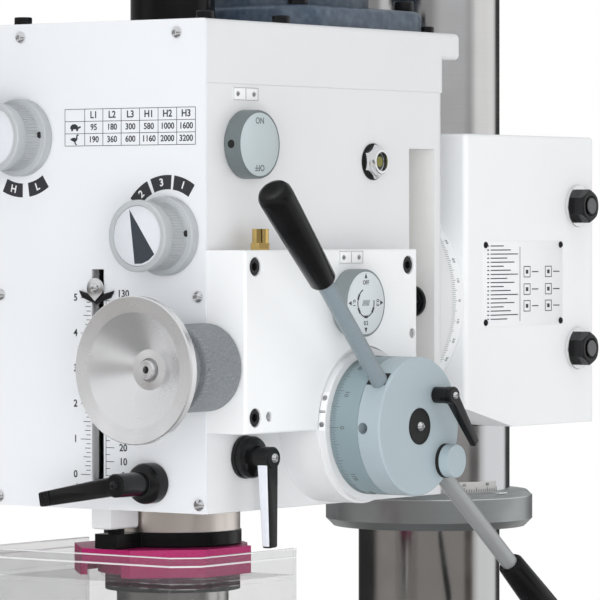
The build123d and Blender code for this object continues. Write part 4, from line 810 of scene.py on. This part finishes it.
# The depth pointer: a black chevron of sheet metal behind a bright drop-shaped plate, both held by one screw
# on a pin that comes through the slot from the quill.
pointer_z = 1448.6
chevron_outline = ((-16, 1446.8), (-13, 1441.6), (0, 1437.0), (13, 1441.6), (16, 1446.8), (8, 1444.6),
                   (0, 1442.0), (-8, 1444.6))
chevron = plate(chevron_outline, 1.8, (0, panel_y - 0.4, 0), face_front, 0.3)
pin = turned(((0.0, 4.0), (52.0, 4.0), (52.6, 3.6)), (0, panel_y + 50.0, pointer_z), face_front, 32)
pointer = keep(gather([chevron, pin]), "depth_chevron", black_oxide, "quill")
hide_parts("depth_pointer")
drop = [(7.4 * cos(radians(a)), 7.4 * sin(radians(a))) for a in range(-30, 211, 12)] + [(0.0, -9.6)]
drop_plate = plate(drop, 1.4, (0, panel_y - 2.3, pointer_z), face_front, 0.4)
drop_screw = copies(socket_screw(3.6, 2.4, 1.5), [(0, panel_y - 3.7, pointer_z)], face_front)
keep(gather([drop_plate, drop_screw]), "depth_drop_plate", bright_steel, "quill")

# The feed switch on the right side of the head: a turned grey knob with a pale aluminium disc that says ON
# and OFF, a set screw in its rim, and a small index plate above it.
housing_side = 97.5
on_y, on_z, on_word = -372.0, 1551.0, 16.6


def rim_paint(name, paint, shade, rub_and_highlight_colour):
    return painted(name, paint, shade, 1500.0, 0.04, 0.0005, rub_and_highlight=0.3, rub_and_highlight_colour=rub_and_highlight_colour, cloud=20.0,
                   haze=0.8)


def side_knob(node, x, y, z, rim, disc):
    outline = ((0.4, 24.0), (1.0, 24.5), (12.6, 24.5), (13.5, 24.2), (14.0, 23.6), (14.0, 22.9), (13.7, 22.7))
    knob = keep(turned(outline, (x, y, z), face_right, 96), node + "_rim", rim, node)
    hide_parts(node)
    face = turned(((13.5, 22.6), (13.85, 22.6), (13.95, 22.4)), (x, y, z), face_right, 72)
    keep(face, node + "_disc", disc, node)
    return x + 13.95 + ink_rise


def index_plate(name, x, y, z):
    strip = plate(((-14.5, -4.5), (14.5, -4.5), (14.5, 4.5), (-14.5, 4.5)), 0.8, (x, y, z), face_right, 0.3)
    keep(strip, name, plate_white, "drill_head")
    top = x + 0.8
    fit_screws(name + "_screws", (1.8, 0.9, 0.8), [(top, y + side * 9.4, z) for side in (-1, 1)], face_right,
               machined_steel)
    lines = [stroke(0.4, 7.6, (top + ink_rise, y, z), face_right)]
    for side in (-1, 1):
        lines += [stroke(0.25, 9.0, (top + ink_rise, y + side * 14.3, z), face_right),
                  stroke(29.0, 0.25, (top + ink_rise, y, z + side * 4.3), face_right)]
    print_on(lines, name + "_line", grey_ink)


rim_grey = rim_paint("rim_grey", (0.135, 0.16, 0.165), (0.12, 0.145, 0.15), (0.34, 0.37, 0.38))
switch_disc = flat_colour("switch_disc", (0.47, 0.535, 0.555), (0.45, 0.515, 0.535), 0.35)
on_print_x = side_knob("feed_on_knob", housing_side, on_y, on_z, rim_grey, switch_disc)
on_words = [lettering("ON", 6.4, (on_print_x, on_y, on_z + on_word), face_right),
            lettering("OFF", 6.4, (on_print_x, on_y, on_z - on_word), facing((1, 0, 0), (0, 0, -1)))]
print_on(on_words, "feed_on_print", grey_ink, "feed_on_knob")
screw_hole("feed_on_set_screw", "feed_on_knob", 3.0, (housing_side + 7, on_y - 24.5, on_z), face_front)
index_plate("feed_on_index", housing_side, -371.0, 1587.0)

# The feed box: three sunk cap screws and two dowel pins, a rate knob with a printed disc and its index plate,
# an oil sight glass with a bright hexagon on the housing, and a brass oil cup on top of the box.
box_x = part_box("feed_box")[1].x / mm
sunk_spots = [(box_x - 8.4, y, z) for y, z in ((-404.5, 1358.5), (-404.5, 1464.5), (-217.5, 1464.5))]
fit_screws("feed_box_screws", (6.2, 7.6, 3.3, False, 0.6), sunk_spots, face_right, black_oxide)
dowel = turned(((0.0, 3.2), (4.4, 3.2), (5.0, 2.6), (4.6, 1.0)), sides=32)
dowels = copies(dowel, [(box_x - 6.0, -388.4, 1358.8), (box_x - 6.0, -212.5, 1414.0)], face_right)
keep(dowels, "feed_box_dowels", machined_steel, "drill_head")

rate_y, rate_z = -290.7, 1437.6
rate_rim = rim_paint("rate_rim", (0.20, 0.235, 0.245), (0.18, 0.21, 0.22), (0.36, 0.39, 0.40))
rate_disc = flat_colour("rate_disc", (0.62, 0.665, 0.69), (0.59, 0.635, 0.66), 0.35)
rate_x = side_knob("feed_rate_knob", box_x, rate_y, rate_z, rate_rim, rate_disc)
rate_centre = (rate_x, rate_y, rate_z)
rate_print = []
for quarter, word in enumerate(("0.3", "OFF", "0.1", "0.2")):
    out = Vector((0, cos(radians(90 * quarter)), sin(radians(90 * quarter))))
    arrow_spot, word_spot = [Vector(rate_centre) + out * reach for reach in (19.4, 14.6)]
    rate_print.append(plate(((-1.6, -1.6), (1.6, -1.6), (0, 2.0)), 0, arrow_spot, facing((1, 0, 0), out)))
    word_turn = face_right if quarter % 2 else facing((1, 0, 0), (0, 1, 0))
    rate_print.append(lettering(word, 4.4, word_spot, word_turn))
for dash in range(9):
    angle = radians(112 + 29 * dash)
    dash_reach = (9.1, 11.0) if dash % 2 else (9.6, 10.5)
    ends = [(rate_x, rate_y + r * cos(angle), rate_z + r * sin(angle)) for r in dash_reach]
    rate_print.append(swept(ends, rate_centre, (1, 0, 0), 27, 6))
for coil in range(6):
    spot = (rate_x, rate_y - 3.6 + 1.45 * coil, rate_z)
    rate_print.append(stroke(0.42, 4.4, spot, facing((1, 0, 0), (0, 0.35, 1))))
print_on(rate_print, "feed_rate_print", dark_ink, "feed_rate_knob")
index_plate("feed_rate_index", box_x, -290.4, 1470.5)

sight_spot = (housing_side, -214.7, 1540.7)
gasket = turned(((-0.5, 13.6), (1.2, 13.6), (1.4, 13.2)), sight_spot, face_right, 48)
keep(gasket, "sight_gasket", black_plastic, "drill_head")
flange = hex_nut(22, 1.4, 5.6)
collar = turned(((5.0, 10.4), (6.4, 10.2), (8.6, 9.4), (9.0, 8.9), (9.0, 7.2), (6.0, 6.9), (4.0, 6.8)),
                sides=48)
sight = copies(gather([flange, collar]), [sight_spot], face_right)
keep(sight, "sight_hexagon", bright_steel, "drill_head")
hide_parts("sight_glass")
glass_black = flat_colour("glass_black", (0.008, 0.009, 0.006), (0.012, 0.013, 0.009), 0.08)
lens = turned(((3.8, 6.85), (5.4, 6.8), (6.2, 5.6), (6.7, 3.0), (6.8, 0.8)), sight_spot, face_right, 40)
keep(lens, "sight_lens", glass_black, "drill_head")
oil_tint = flat_colour("oil_tint", (0.22, 0.21, 0.03), (0.12, 0.115, 0.015), 0.12)
oil_eye = turned(((6.0, 4.2), (6.75, 3.9), (7.0, 2.4), (6.9, 1.6)), sight_spot, face_right, 32)
keep(oil_eye, "sight_oil", oil_tint, "drill_head")
dress(turned_metal("brass", (0.80, 0.58, 0.22), (0.66, 0.46, 0.16), 0.20, (0.112, -0.372, 0)), "oil_cup")

# The feed hub: a grey painted drum with a graduated ring, two steel levers with tapered black grips that
# screw into slots of the drum, a black lever that clamps the ring and a screw in a recess on the shaft end.
# Dark pieces on the slots, the recess and the gap round the button are painted shade.
feed_y, feed_z = -273.0, 1349.0
drum_back, drum_face = 161.6, 180.6


def satin_paint(name, paint, shade, rub_and_highlight_colour):
    return painted(name, paint, shade, 1500.0, 0.03, 0.0006, rub_and_highlight=0.3, rub_and_highlight_colour=rub_and_highlight_colour)


satin_grey = satin_paint("satin_grey", (0.36, 0.43, 0.465), (0.34, 0.41, 0.445), (0.55, 0.60, 0.62))
ring_grey = satin_paint("ring_grey", (0.225, 0.30, 0.325), (0.21, 0.28, 0.305), (0.50, 0.55, 0.57))
dress(satin_grey, "feed_hub")
dress(ring_grey, "feed_scale_ring")
rod_grey = painted("rod_grey", (0.20, 0.245, 0.27), (0.185, 0.23, 0.255), 1500.0, 0.02, 0.0005, rub_and_highlight=0.2,
                   rub_and_highlight_colour=(0.45, 0.48, 0.50), haze=0.7)
# The rod below the shaft is half mixed to a pale beige bare metal, a painted reflection on the rod that
# points down.
tree = rod_grey.node_tree
lower_rod_painted_reflection = maths("LESS_THAN", axes_of(own_place(tree))["Z"], feed_z * mm)
dress(bare_metal(rod_grey, maths("MULTIPLY", lower_rod_painted_reflection, 0.5), (0.52, 0.50, 0.485), bare_rough), "feed_levers")
dress(machined_steel, "feed_pinion")
feed_ring = ((137.3, feed_y, feed_z), (1, 0, 0), (0, -1, 0))
ring_radius = 50 + ink_rise
ring_print = [ring_ticks(feed_ring, ring_radius, 0, 360 / 252, 252, 0.5, 3.6, 0.3),
              ring_ticks(feed_ring, ring_radius, 0, 360 / 126, 126, 0.5, 5.0, 0.3),
              ring_ticks(feed_ring, ring_radius, 0, 360 / 25.2, 25, 0.5, 6.6, 0.35)]
for ten in range(12):
    ten_spot = round_spot(feed_ring, -ten * 3600 / 126, ring_radius, 10.6)
    ring_print.append(lettering(str(ten * 10), 5.2, *ten_spot))
print_on(ring_print, "feed_ring_print", grey_ink, "depth_ring")

index_ring = ((131.0, feed_y, feed_z), (1, 0, 0), (0, -1, 0))
index_turn = -12.2
index_ends = [round_spot(index_ring, index_turn - 14.5, 55.1, height)[0] for height in (0.4, 5.6)]
index_strip = swept(index_ends, (0, feed_y, feed_z), (1, 0, 0), 29, 16, 0.7)
keep(index_strip, "feed_ring_index", plate_white, "drill_head")
print_on([ring_ticks(index_ring, 55.5, index_turn, 1, 2, 0.6, 4.8, 0.5)], "feed_ring_index_line", dark_ink)
index_screws = []
for side in (-10.0, 10.0):
    spot, turn = round_spot(index_ring, index_turn + side, 55.4, 3.0)
    index_screws.append(copies(socket_screw(2.0, 1.0, 0.9), [spot], turn))
keep(gather(index_screws), "feed_ring_index_screws", machined_steel, "drill_head", 40.0)

lever_turn, lever_lean, lever_reach, grip_length = 48, 4.7, 252.0, 94.0
grip_outline = ((0.0, 8.0), (0.6, 8.8), (2.2, 9.7), (40.0, 11.1), (86.0, 12.45), (90.5, 12.2), (93.0, 10.8),
                (94.0, 8.6), (93.7, 5.6), (92.6, 3.0))
grip_outline = [(lever_reach - grip_length + height, radius) for height, radius in grip_outline]
drum_rim = ((drum_back, feed_y, feed_z), (1, 0, 0), (0, 0, 1))
grips, slots = [], []
for half_turn in (0, 180):
    angle = lever_turn + half_turn
    turn = (Matrix.Rotation(radians(angle), 3, "X") @ Matrix.Rotation(radians(lever_lean), 3, "Y")).to_euler()
    grips.append(turned(grip_outline, (167.6, feed_y, feed_z), turn, 56))
    slot_ends = [round_spot(drum_rim, angle - 9.0, 50.06, height)[0] for height in (0.3, 16.4)]
    slots.append(swept(slot_ends, (0, feed_y, feed_z), (1, 0, 0), 13, 8))
feed_grips = keep(gather(grips), "feed_lever_grips", black_plastic, "feed_hub")
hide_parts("feed_grips")
print_on(slots, "feed_lever_slots", painted_hole_shade, "feed_hub")
hub_spot = (drum_face, feed_y, feed_z)
hub_recess_shade = turned(((-0.2, 13.2), (0.5, 13.2), (0.8, 12.6), (0.3, 11.8)), hub_spot, face_right, 48)
keep(hub_recess_shade, "feed_hub_disc", painted_hole_shade, "feed_hub")
fit_screws("feed_hub_screw", (3.8, 3.2, 1.9), [(drum_face + 0.3, feed_y, feed_z)], face_right, bright_steel,
           "feed_hub")
button_gap = turned(((-0.4, 12.35), (2.6, 12.35), (2.8, 12.1)), (drum_face, -241.0, 1323.0), face_right, 48)
keep(button_gap, "feed_button_gap", painted_hole_shade, "feed_hub")
lever_black = moulded_black("lever_black", (0.10, 0.10, 0.105), 0.3)


def block(scale, spot):
    bpy.ops.object.select_all(action="DESELECT")
    bpy.ops.mesh.primitive_cube_add(size=mm, location=metres(spot))
    bpy.context.object.scale = scale
    bpy.ops.object.transform_apply()
    return bpy.context.object


def clamp_lever(node, body, hub, low, high, reach, root, tip, lean, spot, turn, ribs=0, screw=black_oxide):
    lever = turned(hub, sides=48)
    arm = block((reach, root, high - low), (-reach / 2, 0, (low + high) / 2))
    pick_faces(arm, lambda middle, normal: normal.x < -0.9)
    bpy.ops.transform.resize(value=(1.0, tip / root, 0.72),
                             center_override=metres((-reach, 0, (low + high * 1.02) / 2)))
    bpy.ops.object.mode_set(mode="OBJECT")
    use(arm, "BEVEL", width=min(tip, high - low) * 0.15 * mm, segments=3)
    for rib in range(ribs):
        cut(arm, block((1.2, 30.0, 4.2), (4.0 + 3.2 * rib - reach, 0, high)))
    cut(lever, put(arm, (0, 0, 0), (0, 0, radians(lean))), "UNION")
    placed = copies(lever, [spot], turn)
    keep(placed, node + "_handle", lever_black, body, 35.0)
    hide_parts(node)
    top, narrow = hub[-1]
    cap = copies(socket_screw(narrow * 0.5, narrow * 0.36, narrow * 0.24), [(0, 0, top)], upright)
    keep(copies(cap, [spot], turn), node + "_screw", screw, body, 40.0)
    return placed


clamp_lever("hub_clamp_lever", "depth_clamp",
            ((0.3, 5.0), (0.8, 6.0), (11.0, 6.0), (11.2, 6.4), (16.4, 6.4), (17.4, 5.6)),
            low=10.6, high=17.2, reach=47.0, root=9.4, tip=6.4, lean=130.0,
            spot=(drum_face, feed_y + 20.0, feed_z + 22.0), turn=face_right, screw=bright_steel)

# The fine feed: a dished hand wheel turned from aluminium on the worm shaft, behind it a grey cast dial.
# The wheel is bright and shows the turning marks as a bow tie of light.
worm_x, worm_z = 99.0, 1393.6
turned_aluminium = turned_metal("turned_aluminium", (0.90, 0.90, 0.91), (0.82, 0.82, 0.83), 0.24,
                                (worm_x * mm, 0, worm_z * mm), (radians(90), 0.0, 0.0), pitch=1400.0,
                                swirl=0.8, metal=0.88)
wheel_outline = ((40.3, 8.0), (40.3, 26.0), (44.0, 28.0), (60.0, 39.0), (76.0, 49.5), (78.0, 51.2),
                 (83.0, 51.4), (84.0, 50.6), (82.9, 40.2), (82.2, 39.2), (66.4, 15.4), (65.8, 14.2),
                 (66.0, 8.2), (63.6, 8.0), (63.6, 6.9), (69.0, 6.6), (69.6, 6.0), (69.6, 2.6), (66.0, 2.4))
wheel = turned(wheel_outline, (worm_x, panel_y, worm_z), face_front, 128)
keep(wheel, "fine_feed_hand_wheel", turned_aluminium, "fine_feed", 25.0)
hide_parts("fine_feed_wheel")
screw_hole("fine_feed_wheel_bore", "fine_feed", 2.4, (worm_x, panel_y - 67.0, worm_z), face_front)
dress(painted("dial_grey", (0.17, 0.185, 0.20), (0.25, 0.27, 0.285), 2200.0, 0.35, 0.0005, rub_and_highlight=0.3,
              rub_and_highlight_colour=(0.45, 0.47, 0.48), cloud=700.0), "fine_feed_dial")
dial = ((worm_x, panel_y - 40.3, worm_z), (0, 1, 0), (1, 0, 0))
dial_radius = 31.05
dial_print = [ring_ticks(dial, dial_radius, 0, 6, 60, 0.6, 3.4, 0.4),
              ring_ticks(dial, dial_radius, 0, 30, 12, 0.6, 6.0, 0.5)]
dial_ink = flat_colour("dial_ink", (0.34, 0.36, 0.375), (0.28, 0.30, 0.315), 0.5)
print_on(dial_print, "fine_feed_dial_print", dial_ink, "fine_feed")
dress(machined_steel, "worm_shaft")
dress(turned_metal("bronze", (0.62, 0.40, 0.18), (0.50, 0.31, 0.13), 0.32, (0, feed_y * mm, feed_z * mm),
                   (0.0, radians(90), 0.0)), "worm_wheel")

# The lock levers: black moulded clamping levers for the quill, in front, and for the feed, on the right.
# Each has a round foot, a neck, a tapered arm and a pivot screw. The right one has a painted highlight on its
# front flank.
clamp_lever("quill_lock_lever", "quill_lock",
            ((0.3, 13.4), (1.0, 14.5), (10.5, 14.5), (12.8, 13.6), (14.2, 11.6), (15.0, 8.6), (43.0, 8.4),
             (44.0, 7.4)),
            low=33.5, high=43.4, reach=72.0, root=14.0, tip=10.4, lean=10.0,
            spot=(50.6, panel_y, 1310.6), turn=face_front, ribs=3)
side_lever = clamp_lever(
    "side_lock_lever", "feed_lock",
    ((0.3, 14.6), (0.8, 15.4), (3.2, 15.4), (3.7, 14.3), (4.5, 14.3), (5.0, 15.0), (9.4, 15.0), (11.4, 13.8),
     (12.2, 8.6), (16.0, 8.0), (26.4, 8.0), (27.5, 7.0)),
    low=16.5, high=26.5, reach=64.0, root=13.0, tip=9.4, lean=92.5,
    spot=(housing_side, -373.0, 1328.7), turn=face_right, screw=bright_steel)
# The right lever's lower front faces are copied into a pale silver skin, a painted highlight on the black
# arm.
pick_faces(side_lever, lambda middle, normal: normal.y < -0.95 and middle.z < 1318.0)
bpy.ops.mesh.duplicate_move(TRANSFORM_OT_translate={"value": (0, -0.06 * mm, 0)})
bpy.ops.mesh.separate(type="SELECTED")
bpy.ops.object.mode_set(mode="OBJECT")
lever_painted_highlight = [piece for piece in bpy.context.selected_objects if piece is not side_lever][0]
flank_painted_highlight = flat_colour("flank_painted_highlight", (0.74, 0.76, 0.82), (0.66, 0.68, 0.74), 0.3)
keep(lever_painted_highlight, "side_lever_flank", flank_painted_highlight, "feed_lock")

# The chuck guard: a black collar under the quill boss, a magenta bracket and a clear box that swings aside.
# The box is folded from clear sheet, and its cut edges look pale; pale lines along its top and its fold are
# painted highlights.
dress(painted("magenta", (0.46, 0.012, 0.14), (0.42, 0.010, 0.125), 1200.0, 0.03, 0.0005, rub_and_highlight=0.3,
              rub_and_highlight_colour=(0.6, 0.10, 0.25), haze=0.7), "guard_bracket")
dress(black_plastic, "guard_collar", "guard_ring")
clear_sheet, tree, shader = new_material("clear_sheet")
rim = add_node(tree, "Group", {"Width": 0.0022, "Amount": 1.0}, node_tree=edge_rub_and_highlight).outputs["Mask"]
place = own_place(tree)
sheet_z = axes_of(place)["Z"]
top_edge, fold_middle, fold_reach = 1.2592, 1.2535, 0.0005
# Pale lines at the top edge and along the fold are painted highlights.
lip_painted_highlight = maths("MAXIMUM", maths("GREATER_THAN", sheet_z, top_edge),
            maths("COMPARE", sheet_z, fold_middle, fold_reach))
edge = maths("MAXIMUM", rim, lip_painted_highlight)
scuffs = noise(place, 40.0, 5.0)
veil = maths("ADD", spread(scuffs, low=0.15, high=0.21), maths("MULTIPLY", edge, 0.5))
wire(shader, {"Base Color": mixed(edge, (0.16, 0.163, 0.166), (0.80, 0.81, 0.82)), "Alpha": veil,
              "Roughness": spread(scuffs, low=0.05, high=0.16), "Specular IOR Level": 0.4})
dress(clear_sheet, "guard_shield")

# The quill and spindle: a hardened and ground sleeve with the spindle in bearings inside it, and the gears,
# the spring and the rotor that drive it.
quill_steel = turned_metal("quill_steel", (0.66, 0.645, 0.63), (0.58, 0.565, 0.55), 0.18, quill_axis,
                           pitch=700.0, grain=0.05)
dress(quill_steel, "quill_sleeve", "spindle_shaft", "spindle_bearings")
dress(machined_steel, "layshaft_gears", "spindle_gear", "return_spring", "motor_rotor")

# The motor: a finned body with a pressed fan cover and a terminal box, in dark blue-grey speckled paint.
# Four cap screws hold its flange on the cover.
motor_y = -200
motor_blue = painted("motor_blue", (0.045, 0.065, 0.095), (0.085, 0.115, 0.155), 500.0, 0.15, rub_and_highlight=0.4,
                     rub_and_highlight_colour=(0.20, 0.24, 0.28), cloud=160.0, haze=0.8)
dress(motor_blue, "motor_body", "fan_cover", "terminal_box")
dress(black_plastic, "spindle_cap")
flange_spots = [(x, motor_y + y, 1655.6) for x in (-68, 68) for y in (-68, 68)]
fit_screws("motor_flange_screws", (7.5, 8.0, 4.0, False), flange_spots, upright, black_oxide)
lid_spots = [(-126, motor_y + y, 1765.6 + z) for y in (-42, 42) for z in (-42, 42)]
fit_screws("terminal_lid_screws", (3.2, 2.2, 1.4), lid_spots, face_left, bright_steel)

# The switch box on the left: a grey moulded box with a red stop button on a yellow ring and a turn switch.
# Below it a black cover closes the return spring's cup.
switch_grey = painted("switch_grey", (0.42, 0.43, 0.44), (0.39, 0.40, 0.41), 1500.0, 0.06, 0.0006, rub_and_highlight=0.2)
dress(switch_grey, "switch_box")
dress(painted("stop_red", (0.55, 0.012, 0.012), (0.48, 0.010, 0.010), 1500.0, 0.02, 0.0005, rub_and_highlight=0.2,
              rub_and_highlight_colour=(0.6, 0.1, 0.1)), "estop_button")
dress(black_plastic, "mode_switch", "spring_cover")
switch_x, stop_z, mode_z = -128.5, 1552, 1486
switch_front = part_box("switch_box")[0].y / mm
corner_spots = [(switch_x + x, switch_front, 1515 + z) for x in (-24, 24) for z in (-68, 68)]
fit_screws("switch_box_screws", (3.0, 1.8, 1.4), corner_spots, face_front, bright_steel)
stop_yellow = flat_colour("stop_yellow", (0.75, 0.52, 0.02), (0.68, 0.47, 0.02), 0.5)
ring_ends = [(switch_x + r, switch_front - ink_rise, stop_z) for r in (11.6, 25.5)]
stop_ring = swept(ring_ends, (switch_x, switch_front, stop_z), (0, -1, 0), 360, 64)
print_on([stop_ring], "stop_ring", stop_yellow, "drill_head")
mode_words = [lettering(word, 7.0, (switch_x + x, switch_front - ink_rise, mode_z + z), face_front)
              for word, x, z in (("0", 0, 25), ("1", -23, 9), ("2", 23, 9))]
print_on(mode_words, "mode_digits", dark_ink)
cover_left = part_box("spring_cover")[0].x / mm
spring_spots = [(cover_left, feed_y + 40 * cos(radians(angle)), feed_z + 40 * sin(radians(angle)))
                for angle in (45, 135, 225, 315)]
fit_screws("spring_cover_screws", (3.6, 2.4, 1.7), spring_spots, face_left, bright_steel)
